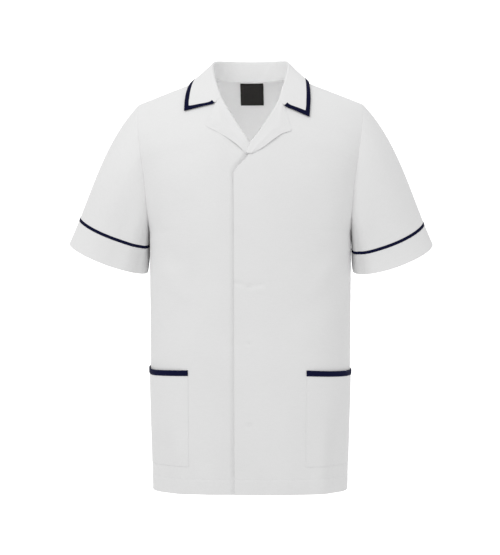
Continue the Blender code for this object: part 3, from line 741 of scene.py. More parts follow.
def shell(name, piece, cover, wall, thicker):
    """Two skins about the grid of a piece, closed by a rounded border."""
    rows, columns = piece.grid.shape[:2]
    far = piece.from_edges()
    radius = wall / 2
    round_off = np.sqrt(np.maximum(1 - (1 - np.clip(far / radius, 0, 1)) ** 2, 0.03))
    half = piece.normal * (radius * round_off)[..., None]
    inner_half = piece.normal * ((radius + thicker) * round_off)[..., None]
    points = np.concatenate([(piece.grid + half).reshape(-1, 3),
                             (piece.grid - inner_half).reshape(-1, 3)]) * MM
    count = rows * columns
    index = np.arange(count).reshape(rows, columns)
    right = np.roll(index, -1, axis=1) if piece.around else index[:, 1:]
    left = index if piece.around else index[:, :-1]
    skin = quads(left, right)
    a, b, d = (piece.grid.reshape(-1, 3)[skin[:, k]] for k in (0, 1, 3))
    rim = list(zip(left[0], right[0])) + list(zip(right[-1], left[-1]))
    if not piece.around:
        rim += list(zip(index[1:, 0], index[:-1, 0])) + list(zip(index[:-1, -1], index[1:, -1]))
    rim = np.array(rim)
    if (np.cross(b - a, d - a) * piece.normal.reshape(-1, 3)[skin[:, 0]]).sum() < 0:
        skin, rim = skin[:, ::-1], rim[:, ::-1]
    border = np.stack([rim[:, 1], rim[:, 0], rim[:, 0] + count, rim[:, 1] + count], axis=-1)
    faces = np.concatenate([skin, skin[:, ::-1] + count, border])
    flat = np.stack([piece.u.ravel(), piece.v.ravel()], axis=-1) * MM
    flat = np.concatenate([flat, flat])[faces.ravel()]
    if piece.around:
        wide = piece.wide * MM
        corner_u = flat[:, 0].reshape(-1, 4)
        corner_u[(corner_u.max(axis=1, keepdims=True) - corner_u) > wide / 2] += wide
        flat[:, 0] = corner_u.ravel()
    return make_object(name, points, faces.tolist(), cover, flat)


def sew(node, piece, cover, wall=WALL, thicker=0.0):
    """Makes the shell of a node and says the size that it was cut to."""
    made = shell(node + "_cloth", piece, cover, wall, thicker)
    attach(made, "root")
    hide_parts(node)
    size = sum(face.area for face in made.data.polygons) / 2
    print(f"{made.name}: {len(made.data.polygons)} faces, {size:.4f} m2 of cloth")


print("cloth of", WALL, "mm, on top of another piece at", ON_TOP, "mm")

# %% [markdown]
# ## Stitches
# A lockstitch shows as a row of short thread bars, one every 2.5 mm, whose ends dive into
# the cloth. Modelled bars catch the light one by one as real thread does, which a painted
# dashed line can't. All the bars of one piece are a single mesh.

# %% Rows of stitches
STITCH = 2.5
BAR = 1.9
THREAD = 0.16
STITCH_IN = 1.6


def along_cloth(piece, corners, out):
    """Points and normals on a piece's face, about 1 mm apart, along straight runs of its map."""
    u, v = [], []
    for (u0, v0), (u1, v1) in zip(corners[:-1], corners[1:]):
        count = max(int(math.hypot(u1 - u0, v1 - v0)), 2)
        u.append(np.linspace(u0, u1, count, endpoint=False))
        v.append(np.linspace(v0, v1, count, endpoint=False))
    return piece.at(np.concatenate(u), np.concatenate(v), out)


def straight(piece, v, inset, out):
    """A line across a piece at length v, which stops short of its sides."""
    return along_cloth(piece, [(inset, v), (piece.wide - inset, v)], out)


def stitches(name, rows_of_points, cover):
    """Thread bars along several lines. Each line is (points, normals) in millimetres."""
    ring = np.linspace(0, 2 * math.pi, 6)[:-1]
    sides = len(ring)
    places = np.array([-0.5, -0.32, 0.0, 0.32, 0.5])
    sink = np.array([-0.30, 0.02, 0.10, 0.02, -0.30])
    width = np.array([0.55, 0.95, 1.0, 0.95, 0.55])
    all_points, all_faces, start = [], [], 0
    for points, normals in rows_of_points:
        walk = np.concatenate([[0], np.cumsum(np.linalg.norm(np.diff(points, axis=0), axis=1))])
        middles = np.arange(STITCH / 2, walk[-1] - STITCH / 2, STITCH)
        where = middles[:, None] + places[None] * BAR
        centre = follow(where, walk, points)
        normal = unit(follow(where, walk, normals))
        forward = unit(np.gradient(centre, axis=1))
        beside = unit(np.cross(forward, normal))
        centre = centre + normal * sink[None, :, None]
        turned = (np.cos(ring)[:, None] * beside[:, :, None]
                  + np.sin(ring)[:, None] * normal[:, :, None])
        tube = centre[:, :, None] + turned * (width * THREAD)[None, :, None, None]
        count = len(middles)
        per = len(places) * sides
        all_points.append(tube.reshape(-1, 3))
        base = start + np.arange(count)[:, None] * per
        for r in range(0, per - sides, sides):
            for c in range(sides):
                n = (c + 1) % sides
                quad = np.array([r + c, r + n, r + sides + n, r + sides + c])
                all_faces += (base + quad[None]).tolist()
        all_faces += (base + np.arange(sides)[None, ::-1]).tolist()
        all_faces += (base + (per - sides) + np.arange(sides)[None]).tolist()
        start += count * per
    points = np.concatenate(all_points) * MM
    flat = points[[v for face in all_faces for v in face]][:, [0, 2]]
    made = make_object(name, points, all_faces, cover, flat)
    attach(made, "root")
    print(f"{name}: {len(all_faces)} faces")


print("thread bars of", BAR, "mm, one every", STITCH, "mm")

# %% [markdown]
# ## Folds that the cloth takes
# A pressed work tunic is smooth, yet never flat. It sags softly between the shoulders and
# the hem, dents at each tack of the hidden fastening, and puckers a little along every
# seam. Broad folds are rows of a table: the line they follow, how wide they spread and how
# far they stand out. Puckers are short waves that fade away from the seam.

# %% Fine folds
# Columns as in SOFT_FOLDS.
FINE_FOLDS = np.array([
    (FRONT, 0, -358, -27, -354, 3.2, -1.3),
    (FRONT, 3, -361, 30, -356, 3.4, -1.1),
    (FRONT, 4, -368, 26, -366, 3.2, 0.7),
    (FRONT, -6, -463, -40, -470, 5, -0.4),
    (FRONT, 150, -276, 120, -330, 11, -0.6),
    (FRONT, 166, -292, 128, -366, 12, 0.5),
    (FRONT, -150, -280, -124, -326, 11, -0.5),
    (FRONT, -164, -300, -130, -372, 12, 0.5),
    (FRONT, 158, -306, 112, -380, 18, -1.6),
    (FRONT, -156, -312, -114, -388, 18, -1.4),
    (FRONT, -84, -676, -70, -735, 9, 0.8),
    (FRONT, -20, -668, -14, -735, 10, -0.8),
    (FRONT, 60, -575, 74, -735, 16, 1.1),
    (FRONT, -58, -600, -66, -735, 15, 1),
    (FRONT, -92, -640, -86, -735, 11, -1),
    (FRONT, 30, -640, 34, -735, 12, -0.8),
    (BACK, 150, -282, 118, -350, 12, 1.8),
    (BACK, -148, -286, -112, -362, 12, 1.8),
    (BACK, 20, -560, 12, -735, 18, 1.6),
    (BACK, 136, -560, 148, -735, 14, -1.8),
    (BACK, -138, -540, -146, -735, 15, -1.6),
    (BACK, 60, -70, 24, -190, 20, 1.4),
    (BACK, -62, -74, -30, -200, 20, 1.3),
])
# Columns: x, z, wide, tall, depth.
TACK_ROWS = np.array([
    (1.5, -360, 4.6, 2.4, -2.3),
    (1.5, -461, 4, 1.8, -1.4),
    (1.5, -609, 4.6, 1.8, -1.4),
])


def waves(u, length, seed):
    """Uneven short waves along a seam, from -1 to 1."""
    total = np.zeros_like(u)
    for k, (share, size) in enumerate(((1.0, 0.5), (0.61, 0.3), (1.7, 0.25))):
        phase = seed * (1.7 + k) + 0.6 * np.sin(u / 47.0 + seed)
        total += size * np.sin(2 * np.pi * u / (length * share) + phase)
    return total


def pucker(far, u, reach, size, length, seed):
    """Waves beside a seam that fade with the distance from it."""
    return size * waves(u, length, seed) * bell(far / reach)


def roll_in(far, deep=1.0, radius=1.6):
    """How far a seam's edge turns down between two pieces."""
    near = np.clip(1 - far / radius, 0, 1)
    return -deep * (1 - np.sqrt(np.maximum(1 - near ** 2, 0)))


def groove(far, deep, half):
    """The dent that a row of stitching pulls in."""
    return -deep * bell(far / half)


print("fine folds:", len(FINE_FOLDS), "tacks:", len(TACK_ROWS))

# %% [markdown]
# ## Fronts and back
# The fronts are cut with one pressed vertical edge, a curved neck, a shoulder, an armhole
# and a side seam. The wearer's left front laps over the right one by 52 mm and hides the
# fastening, so only its edge and three small tacks show. The hem is turned up about 25 mm
# and stitched once near its upper edge. The back is one piece.

# %% Rows and columns of the panels
SIDES = {1: "left", -1: "right"}
SHOULDER_HALF = 206.0
HEM_DEPTH = HEM_STITCH_Z - HEM_Z
HEM_STEP = (24.0, 24.8)
HEM_THICKER = 0.6
fine_share = np.linspace(0, 1, 2001)
arc = lengths(bare(FRONT, fine_share[None], np.array([[-400.0], [-300.0]])), 1)
low_rows = lines(HEM_Z, ARMPIT_Z, 3.6, close=(HEM_Z, HEM_STITCH_Z), fine=0.5)
climb = lines(0.0, SHOULDER_ROW - ARMPIT_Z, 3.4, close=(SHOULDER_ROW - ARMPIT_Z,))[1:]
climb = climb / climb[-1]
print("rows up to the armpit:", len(low_rows), "and above it:", len(climb))


def columns(start, step):
    """Columns of a panel from a length across the body up to the side seam, as shares."""
    reach = lines(start, arc[-1], step)
    return np.sign(reach) * np.interp(np.abs(reach), arc, fine_share)


def panel(side, hand, shares, tops):
    high = ARMPIT_Z + climb[:, None] * (tops - ARMPIT_Z)[None]
    low = np.repeat(low_rows[:, None], len(shares), axis=1)
    rows = np.concatenate([low, high])
    grid = body(side, (hand or 1) * shares[None], rows, hand=hand)
    return Piece(grid, (0.0, side, 0.0))


def panel_relief(piece, side, seed):
    """Folds, seam edges, puckers and the hem's step of a body panel."""
    x, z = piece.grid[..., 0], piece.grid[..., 2]
    out = along_folds(FINE_FOLDS, side, x, z)
    far_side = piece.wide - piece.u
    if side == BACK:
        far_side = np.minimum(far_side, piece.u)
    far_top = piece.tall - piece.v
    above = ease(z, -276.0, -262.0)
    deep = 1.0 - 0.55 * above
    out = out + roll_in(far_side, deep, 1.6 + above) + roll_in(far_top, 0.7)
    out += pucker(far_side, piece.v, 9.0, 0.22 + 0.1 * above, 17.0, seed)
    out += pucker(far_top, piece.u, 9.0, 0.2, 15.0, seed + 2)
    hem = piece.v - HEM_DEPTH
    out += groove(hem, 0.2, 0.8) + 0.2 * (1 - ease(hem, -1.0, 0.6))
    out += pucker(hem, piece.u, np.where(hem < 0, 9.0, 6.0), 0.42, 27.0, seed + 4)
    out += 0.35 * waves(piece.u, 88.0, seed + 6) * bell(piece.v / 30.0)
    return out


def sew_panel(node, piece):
    """Sews a panel whose turned-up hem makes it thicker on the inside."""
    thicker = HEM_THICKER * (1 - ease(piece.v, *HEM_STEP))
    sew(node, piece, white, thicker=thicker)


def hem_row(piece):
    return straight(piece, HEM_DEPTH, 1.0, WALL / 2)


def lap_shadow(x, z):
    """The under front gives way along the edge of the lap, most where the lap turns."""
    edge = FRONT_EDGE[1]
    beside = np.interp(z, edge[:5, 1], edge[:5, 0]) - x
    turned = ease(z, -168.0, -140.0)
    beside = (beside - 1.4 - 1.6 * turned) / (2.4 + 2.4 * turned)
    return (1.6 + 0.8 * turned) * bell(beside) * (1 - ease(z, -128.0, -116.0))


# %% Fronts
TACK_LINE = 40
TACK_HALF = 3.9
fronts = {}
neck_share = NECK_SIDE / SHOULDER_HALF
for hand, name in SIDES.items():
    cut_share, cut_row = row_at(FRONT, FRONT_EDGE[hand][:, 0], FRONT_EDGE[hand][:, 1])
    first = cut_share[0]
    shares = columns(math.copysign(np.interp(abs(first), fine_share, arc), first), 3.0)
    stops = np.concatenate([cut_share, [neck_share, 1.0]])
    tops = np.interp(shares, stops, np.concatenate([cut_row, [SHOULDER_ROW] * 2]))
    piece = panel(FRONT, hand, shares, tops)
    out = panel_relief(piece, FRONT, 1.0 + hand)
    x, z = piece.grid[..., 0], piece.grid[..., 2]
    if hand < 0:
        out -= lap_shadow(x, z)
    if hand > 0:
        for tack_x, tack_z, wide, tall, depth in TACK_ROWS:
            out += depth * np.exp(-(((x - tack_x) / wide) ** 2) - ((z - tack_z) / tall) ** 2)
        out += 0.25 * waves(piece.v, 130.0, 2.0) * bell(piece.u / 14.0)
    piece.lift(out)
    fronts[hand] = piece
    sew_panel("front_" + name, piece)
    rows = [hem_row(piece)]
    for tack_x, tack_z, *_ in TACK_ROWS if hand > 0 else ():
        u = np.interp(tack_x, x[TACK_LINE], piece.across)
        v = np.interp(tack_z, z[:, TACK_LINE], piece.along)
        for beside in (-0.5, 0.0, 0.5):
            ends = [(u - TACK_HALF, v + beside), (u + TACK_HALF, v + beside)]
            rows.append(along_cloth(piece, ends, WALL / 2))
    stitches("front_stitches_" + name, rows, white_thread)
print("front grid", fronts[1].grid.shape[:2])

# %% Back
cut_share, cut_row = row_at(BACK, BACK_NECK[:, 0], BACK_NECK[:, 1])
shares = columns(-arc[-1], 3.3)
stops = np.concatenate([[-1.0, -neck_share], cut_share, [neck_share, 1.0]])
heights = np.concatenate([[SHOULDER_ROW] * 2, cut_row, [SHOULDER_ROW] * 2])
back = panel(BACK, 0, shares, np.interp(shares, stops, heights))
back.lift(panel_relief(back, BACK, 5.0))
sew_panel("back", back)
stitches("back_stitches", [hem_row(back)], white_thread)

# %% [markdown]
# ## Sleeves
# A set-in sleeve starts on the armhole and ends on a slanting ring. Each thread line runs
# from a point of the armhole to the matching point of the ring, and leaves and arrives in a
# set direction, so the sleeve falls from the shoulder and opens towards the hem. A plain
# band is sewn below a narrow navy strip.

# %% Armhole and folds of a sleeve
armhole_rows = ARMPIT_Z + (SHOULDER_ROW - ARMPIT_Z) * np.array([
    0.0, 0.006, 0.019, 0.058, 0.10, 0.148, 0.20, 0.27, 0.33, 0.393, 0.45, 0.509, 0.56, 0.619,
    0.67, 0.722, 0.77, 0.812, 0.855, 0.89, 0.92, 0.941, 0.962, 0.977, 0.99, 1.0,
])
SLEEVE_LINES = 150
ARMHOLE_GAP = 0.3
# Columns: turn, from_top, to, wide, lift.
SLEEVE_FOLD_ROWS = np.array([
    (2.05, 0.15, 1.10, 0.16, 2.4),
    (2.45, 0.05, 1, 0.14, -2.6),
    (1.70, 0.30, 1.10, 0.14, -1.4),
    (1.15, 0.25, 1.10, 0.18, 1),
    (0.55, 0.05, 0.80, 0.22, -0.9),
    (4.05, 0.15, 1.10, 0.20, 2.2),
    (4.50, 0.20, 1.10, 0.18, -2),
    (5.20, 0.10, 1.0, 0.25, 1.2),
])
print("heights round an armhole:", len(armhole_rows), "folds:", len(SLEEVE_FOLD_ROWS))

# %% From the armhole to the ring


def make_sleeve(hand):
    """Returns a function of (turn number, share of the way down), and its stations."""
    down_front = body(FRONT, hand * 1.0, armhole_rows[::-1])
    up_back = body(BACK, hand * 1.0, armhole_rows)
    loop = np.concatenate([down_front, up_back[:-1]])
    loop[:, 0] *= hand
    steps = np.linalg.norm(np.diff(loop, axis=0, append=loop[:1]), axis=1)
    turn = 2 * np.pi * np.concatenate([[0], np.cumsum(steps)[:-1]]) / steps.sum()
    low = len(down_front) - 1
    turn[:low + 1] *= np.pi / turn[low]
    turn[low:] = np.pi + (turn[low:] - turn[low]) * np.pi / (2 * np.pi - turn[low])
    closed_turn = np.concatenate([turn, [2 * np.pi]])
    turn = lines(0.0, 2 * np.pi, 2 * np.pi / SLEEVE_LINES, close=())[:-1]
    loop = follow(turn, closed_turn, np.concatenate([loop, loop[:1]]))
    loop[:, 0] += ARMHOLE_GAP
    ring = (np.array(SLEEVE_MIDDLE)
            + np.cos(turn)[:, None] * SLEEVE_HALF_WIDTH * np.array(SLEEVE_ACROSS[hand])
            + np.sin(turn)[:, None] * np.array([0.0, -SLEEVE_HALF_DEPTH, -SLEEVE_FRONT_DIP[hand]]))
    length = np.linalg.norm(ring - loop, axis=1)[:, None]
    top = np.cos(turn)[:, None] * 0.5 + 0.5
    leave = unit(top * np.array([0.695, 0.0, -0.719]) + (1 - top) * np.array([0.10, 0.0, -1.0])
                 + np.sin(turn)[:, None] * np.array([0.0, -0.22, 0.0]))
    arrive = unit(np.array(SLEEVE_DOWN) + (1 - top) * np.array([-0.26, 0.0, 0.0]))

    def sleeve(share):
        t = np.asarray(share)[..., None]
        grid = ((1 + t ** 2 * (2 * t - 3)) * loop + t * (1 - t) ** 2 * leave * length
                + t ** 2 * (3 - 2 * t) * ring + t ** 2 * (t - 1) * arrive * length)
        return grid * np.array([hand, 1, 1])

    return sleeve, turn


def sleeve_piece(hand, sleeve, turn, shares):
    grid = sleeve(shares)
    piece = Piece(grid, grid - grid.mean(axis=(0, 1)), around=True)
    out = np.zeros(grid.shape[:2])
    for at, start, end, wide, lift in SLEEVE_FOLD_ROWS:
        off = (turn - at + np.pi) % (2 * np.pi) - np.pi
        reach = ease(shares, start, start + 0.3) * (1 - ease(shares, end, end + 0.15))
        out += 0.8 * lift * bell(off / wide) * reach * (1.0 if hand > 0 else 0.85)
    return piece, out


print("lines down a sleeve:", len(make_sleeve(1)[1]))

# %% Sleeves, strips and cuffs
for hand, name in SIDES.items():
    sleeve, turn = make_sleeve(hand)
    fine = np.linspace(0, 1, 201)
    walk = np.linalg.norm(np.diff(sleeve(fine[:, None] + np.zeros(len(turn))), axis=0), axis=2)
    to_hem = np.concatenate([np.cumsum(walk[::-1], axis=0)[::-1], np.zeros((1, len(turn)))])

    def above_hem(distances):
        return np.array([np.interp(distance, line[::-1], fine[::-1])
                         for distance, line in zip(distances, to_hem.T)])

    deeper, more_outside = CUFF_TURN[hand]
    cuff = CUFF_DEPTH + deeper + more_outside * np.cos(turn)
    trim_top = above_hem(cuff + SLEEVE_TRIM - 0.3)
    spread = lines(0.0, 200.0, 3.2, fine=0.4)[:, None] / 200.0
    piece, out = sleeve_piece(hand, sleeve, turn, spread * trim_top)
    from_armhole, from_strip = piece.v, piece.tall - piece.v
    out += roll_in(from_armhole, 0.45, 2.4) + roll_in(from_strip, 0.5, 1.0)
    out += pucker(from_armhole, piece.u, 12.0, 0.4, 19.0, 3.0 + hand)
    piece.lift(out)
    sew("sleeve_" + name, piece, white)
    seams = [straight(piece, piece.tall - STITCH_IN, 0.0, WALL / 2)]

    parts = (0.98, 0.96, 0.9, 0.74, 0.5, 0.26, 0.1, 0.04, 0.02)
    band = np.array([above_hem(cuff + part * SLEEVE_TRIM) for part in parts])
    piece, out = sleeve_piece(hand, sleeve, turn, band)
    out += 0.35 * np.sin(np.pi * piece.v / piece.tall) - 0.1
    piece.lift(out)
    sew("sleeve_trim_" + name, piece, navy, 1.1)

    down = lines(0.0, CUFF_DEPTH - 0.3, 2.6)[::-1] / CUFF_DEPTH
    piece, out = sleeve_piece(hand, sleeve, turn, np.array([above_hem(d * cuff) for d in down]))
    out += roll_in(piece.v, 0.5, 1.0) + pucker(piece.v, piece.u, 8.0, 0.2, 21.0, 7.0 + hand)
    piece.lift(out)
    sew("cuff_" + name, piece, white, wall=1.3)
    seams.append(straight(piece, STITCH_IN, 0.0, 0.65))
    stitches("sleeve_stitches_" + name, seams, white_thread)

# %% [markdown]
# ## Pockets
# A patch pocket lies on each front and is caught in the side seam. Its top carries a navy
# band. It stands away from the front a little at its middle, because things are kept in it.

# %% Pockets
POCKET_ROW_HALF = 184.0
POCKET_STAND = 0.75
POCKET_FULL = 2.8
band_z = POCKET_TOP_Z - POCKET_TRIM
for hand, name in SIDES.items():
    pocket_start = np.interp(POCKET_INNER[hand] / POCKET_ROW_HALF, fine_share, arc)
    shares = columns(pocket_start, 2.2)
    reach = np.interp(shares, fine_share, arc)
    across = (reach - reach[0]) / (reach[-1] - reach[0])
    full = np.sin(np.pi * across)[None] ** 0.7

    def on_front(heights, out):
        """The pocket's grid: it stands away and sags in step with how high up it is."""
        rows = np.repeat(heights[:, None], len(shares), axis=1)
        up = (rows - POCKET_BOTTOM_Z) / (POCKET_TOP_Z - POCKET_BOTTOM_Z)
        sag, climbs = POCKET_SAG[hand]
        rows = rows + up ** 2 * (climbs * ease(across, 0.5, 1.0) - sag * np.sin(np.pi * across))
        bulge = POCKET_STAND + POCKET_FULL * full * np.sin(np.pi / 2 * np.clip(up, 0, 1))
        piece = Piece(body(FRONT, hand * shares[None], rows, bulge + out), (0.0, -1.0, 0.0))
        return piece, along_folds(FINE_FOLDS, FRONT, piece.grid[..., 0], piece.grid[..., 2])

    piece, out = on_front(lines(POCKET_BOTTOM_Z, band_z, 2.6), 0.0)
    far = piece.from_edges(top=False)
    out += groove(far - STITCH_IN, 0.05, 0.6)
    out += pucker(far, piece.u + piece.v, 6.0, 0.14, 13.0, hand)
    piece.lift(out)
    sew("pocket_" + name, piece, white, wall=0.6)
    right, top = piece.wide - STITCH_IN, piece.tall
    path = [(STITCH_IN, top), (STITCH_IN, STITCH_IN), (right, STITCH_IN), (right, top)]
    stitches("pocket_stitches_" + name, [along_cloth(piece, path, 0.3)], white_thread)

    heights = lines(band_z - 0.1, POCKET_TOP_Z, 1.6, close=(band_z, POCKET_TOP_Z))
    piece, out = on_front(heights, 0.4)
    piece.lift(out + 0.25 * np.sin(np.pi * piece.v / piece.tall))
    sew("pocket_trim_" + name, piece, navy, wall=1.3)
    rows = [straight(piece, v, 0.5, 0.65) for v in (1.4, piece.tall - 1.4)]
    stitches("pocket_trim_stitches_" + name, rows, navy_thread)

# %% [markdown]
# ## Turned-back fronts
# Below the collar each front is folded outwards along the neck edge. The leaf is the
# facing, so it has no wrong side. It rolls over the edge and lies on the front.

# %% Turned-back fronts


class Surface:
    """Finds the nearest point of some panels, to lay another piece on them."""

    def __init__(self, grids):
        points, faces = [], []
        for grid in grids:
            index = len(points) + np.arange(grid[..., 0].size).reshape(grid.shape[:2])
            points += [Vector(p) for p in grid.reshape(-1, 3)]
            faces += quads(index[:, :-1], index[:, 1:]).tolist()
        self.tree = BVHTree.FromPolygons(points, faces)

    def clear(self, point, out, distance):
        near, normal, _, _ = self.tree.find_nearest(Vector(point))
        if normal.dot(Vector(out)) < 0:
            normal = -normal
        away = Vector(point) - near
        height = away.dot(normal)
        if (away - normal * height).length > 1.0 or height >= distance:
            return np.array(point)
        return np.array(near + normal * distance)


def through_net(net, first, second):
    """A finer net through a net of points, along both of its directions."""
    rows = through(np.arange(net.shape[0]), net, first)
    return np.swapaxes(through(np.arange(net.shape[1]), np.swapaxes(rows, 0, 1), second), 0, 1)


print("points in one front:", fronts[1].grid[..., 0].size)

# %% The two revers
EDGE_W = 5.0
LEAF_W = 9.0
REVERS_STITCH_IN = 5.0
# The lower leaf starts further down, under the lap.
UNDER_LAP_CUT = (-8.0, -119.0, 2.4)
UNDER_LAP_OUT = (-3.0, -128.0)
for hand, name in SIDES.items():
    front = Surface([fronts[hand].grid])
    start = REVERS_START[hand]
    cut = FRONT_EDGE[hand][start:start + len(REVERS[hand])].copy()
    outer = REVERS[hand].copy()
    if hand < 0:
        cut = np.concatenate([[UNDER_LAP_CUT], cut])
        outer = np.concatenate([[UNDER_LAP_OUT], outer])
    last = len(cut) - 1.0
    cut[-1, :2] -= 0.10 * (cut[-2, :2] - cut[-1, :2])
    outer[-1] -= 0.22 * (outer[-2] - outer[-1])
    edge = on_body(FRONT, hand * cut[:, 0], cut[:, 1], hand=hand)
    over = on_body(FRONT, hand * cut[:, 0], cut[:, 1], 1.0, hand=hand)
    normal = unit(over - edge)
    beyond = unit(np.cross(normal, unit(np.gradient(edge, axis=0)))) * hand
    beyond *= np.sign(beyond @ np.array([-hand, 0.0, 0.6]))[:, None]
    stand = cut[:, 2:]
    net = [
        edge - normal * 1.5 - beyond * np.minimum(TUCK, stand),
        edge - normal * 1.5 + beyond * 0.6,
        edge - normal * ON_TOP * 0.7 + beyond * (stand * 0.75),
        edge + beyond * stand,
        edge + normal * ON_TOP * 0.8 + beyond * (stand * 0.75),
        edge + normal * (ON_TOP + 0.2) + beyond * 0.6,
    ]
    loose = (2.0 if hand > 0 else 0.8) * bell((np.arange(last + 1) - 1.9) / 1.4)
    for share in (0.2, 0.45, 0.72, 1.0):
        x = cut[:, 0] + share * (outer[:, 0] - cut[:, 0])
        z = cut[:, 1] + share * (outer[:, 1] - cut[:, 1])
        lift = 0.9 + 1.9 * np.sin(np.pi * min(share * 1.2, 1.0))
        net.append(on_body(FRONT, hand * x, z, lift, hand)
                   + normal * (loose * share ** 2)[:, None])
    net = np.array(net)
    leaf_w = lines(EDGE_W, LEAF_W, 0.11, close=(LEAF_W,), fine=0.04, reach=0.06)
    w = np.concatenate([np.linspace(0, EDGE_W, 22)[:-1], leaf_w])
    k = lines(0.0, last, 0.14, fine=0.05, reach=0.08)
    grid = through_net(net, w, k)
    facing = unit(normal.mean(axis=0))
    middle, spread = (0.0, 1.3) if hand > 0 else (1.9, 0.9)
    near_crossing = bell((k - middle) / spread)
    leaf = np.nonzero(w > EDGE_W)[0]
    for r in leaf:
        grid[r] = [front.clear(p, facing, 0.75 + 0.6 * n) for p, n in zip(grid[r], near_crossing)]
    piece = Piece(grid, facing)
    piece.turn_to((piece.normal[leaf] @ facing).mean())
    from_outer = piece.tall - piece.v
    out = groove(from_outer - REVERS_STITCH_IN, 0.12, 0.6)
    out += pucker(from_outer, piece.u, 7.0, 0.2, 15.0, hand)
    if hand < 0:
        out += 1.3 * (near_crossing * ease(k, 0.7, 1.5))[None] * ease(w, 3.0, EDGE_W)[:, None]
    piece.lift(out)
    sew("revers_" + name, piece, white, 0.8)
    rows = [straight(piece, piece.tall - REVERS_STITCH_IN, 3.0, 0.4)]
    stitches("revers_stitches_" + name, rows, white_thread)

# %% [markdown]
# ## Collar
# The collar is one shape: a foot inside the neck seam, a stand, a roll and a fall that
# lies on the shoulders. A net of points describes it: one column for each station round
# the neck, from the middle of the back to the front ends. The navy binding follows the
# net's outer edge at a steady 9 mm.

# %% Stations of the collar
panels = Surface([fronts[1].grid[::2, ::2], fronts[-1].grid[::2, ::2], back.grid[::2, ::2]])


def place_on(side, x, z, lift, hand):
    return on_body(side, np.array([x]), np.array([z]), lift, hand)[0]


def collar_column(neck, out_of, into, roll, away, outer):
    """Foot inside the neck seam, stand, roll and fall of one station."""
    start = neck - out_of * (ON_TOP + SEAM_GAP)
    rise = unit(roll - start)
    mid_fall = roll + away * (FOLD_RADIUS + 1.2) - rise * FOLD_RADIUS
    fall = outer - mid_fall
    return np.array([
        start + into * TUCK,
        start - into * 2.0 - out_of * 0.2,
        start - into * 2.0 + (roll - away * FOLD_RADIUS - start) * 0.4,
        roll - away * FOLD_RADIUS - rise * FOLD_RADIUS,
        roll,
        roll + away * FOLD_RADIUS - rise * FOLD_RADIUS * 0.7,
        mid_fall + fall * 0.22 + away * 0.8,
        mid_fall + fall * 0.48 + away * 1.0,
        mid_fall + fall * 0.74 + away * 0.5,
        outer,
    ])


def seam_frames(line, hand):
    """Point, outward normal and direction back into the panel along the neck seam."""
    points, normals = [], []
    last_back = len(COLLAR_BACK) - 1
    for k, (x, z) in enumerate(line):
        sides = [side for side, here in ((BACK, k <= last_back), (FRONT, k >= last_back)) if here]
        pairs = [(place_on(side, hand * x, z, 0.0, hand * (side == FRONT)),
                  place_on(side, hand * x, z, 1.0, hand * (side == FRONT))) for side in sides]
        points.append(np.mean([low for low, _ in pairs], axis=0))
        normals.append(unit(np.sum([unit(high - low) for low, high in pairs], axis=0)))
    points, normals = np.array(points), np.array(normals)
    tangents = np.gradient(points, axis=0)
    tangents[0] = (1.0, 0.0, 0.0)
    into = unit(np.cross(normals, tangents))
    into *= np.sign(np.sum(into * (points - np.array([0.0, 0.0, 60.0])), axis=1))[:, None]
    return points, normals, into


print("depth of the foot:", TUCK, "mm")

# %% The collar's net


def collar_half(hand):
    rolls = np.concatenate([COLLAR_BACK[:, 2:5], COLLAR_FRONT[hand][:, 2:5]])
    rows = np.concatenate([COLLAR_BACK, COLLAR_FRONT[hand]])
    edge_x, edge_z, notch_x, notch_z, tip_x, tip_z = COLLAR_ENDS[hand]
    points, normals, intos = seam_frames(np.concatenate([rows[:, :2], [(edge_x, edge_z)]]), hand)
    tangents = np.gradient(rolls, axis=0)
    tangents[0] = (1.0, 0.0, 0.0)
    columns = []
    for k, (_, _, roll_x, roll_y, roll_z, out_x, out_z) in enumerate(rows):
        side = BACK if k < len(COLLAR_BACK) - 1 else FRONT
        roll = np.array([hand * roll_x, roll_y, roll_z])
        tangent = unit(tangents[k] * np.array([hand, 1, 1]))
        away = unit(np.cross(tangent, unit(roll - points[k]))) * hand
        away *= np.sign(away @ np.array([hand * (0.2 + roll_x), roll_y, 0.0]))
        outer = place_on(side, hand * out_x, out_z, ON_TOP + 0.9, hand if side == FRONT else 0)
        columns.append(collar_column(points[k], normals[k], intos[k], roll, away, outer))
    edge, normal, beyond = points[-1], normals[-1], -intos[-1]

    def leaf(share):
        x = np.interp(share, (0, 0.3, 1), (edge_x, notch_x, tip_x))
        z = np.interp(share, (0, 0.3, 1), (edge_z, notch_z, tip_z))
        return place_on(FRONT, hand * x, z, ON_TOP + 0.9, hand)

    columns.append(np.array([
        edge - normal * (ON_TOP + 0.3) - beyond * TUCK,
        edge - normal * (ON_TOP + 0.3) + beyond * 0.6,
        edge - normal * ON_TOP * 0.95 + beyond * 1.2,
        edge - normal * ON_TOP * 0.72 + beyond * 2.16,
        edge + beyond * 3.0,
        edge + normal * ON_TOP * 0.85 + beyond * 2.16,
        leaf(0.10), leaf(0.30), leaf(0.62), leaf(1.0),
    ]))
    return columns


net = np.array(collar_half(-1)[:0:-1] + collar_half(1))
LAST_K, LAST_W, NOTCH_W, ROLL_W = len(net) - 1.0, 9.0, 6.75, 4.0
K_STEPS, W_STEPS, CLEAR = 400, 270, 2.2
table_k, table_w = np.linspace(0, LAST_K, K_STEPS + 1), np.linspace(0, LAST_W, W_STEPS + 1)
table = through_net(net, table_k, table_w)
foot, above_foot = (follow(table_k, np.arange(len(net)), net[:, r]) for r in (0, 1))
for c in np.nonzero(table_w < 1.0)[0]:
    table[:, c] = foot + (above_foot - foot) * table_w[c]
for c in np.nonzero(table_w > 5.0)[0]:
    for r, point in enumerate(table[:, c]):
        table[r, c] = panels.clear(point, (0.2 * point[0], point[1], 90.0), CLEAR)
print("collar net", net.shape, "fine table", table.shape)

# %% Walking on the collar's net


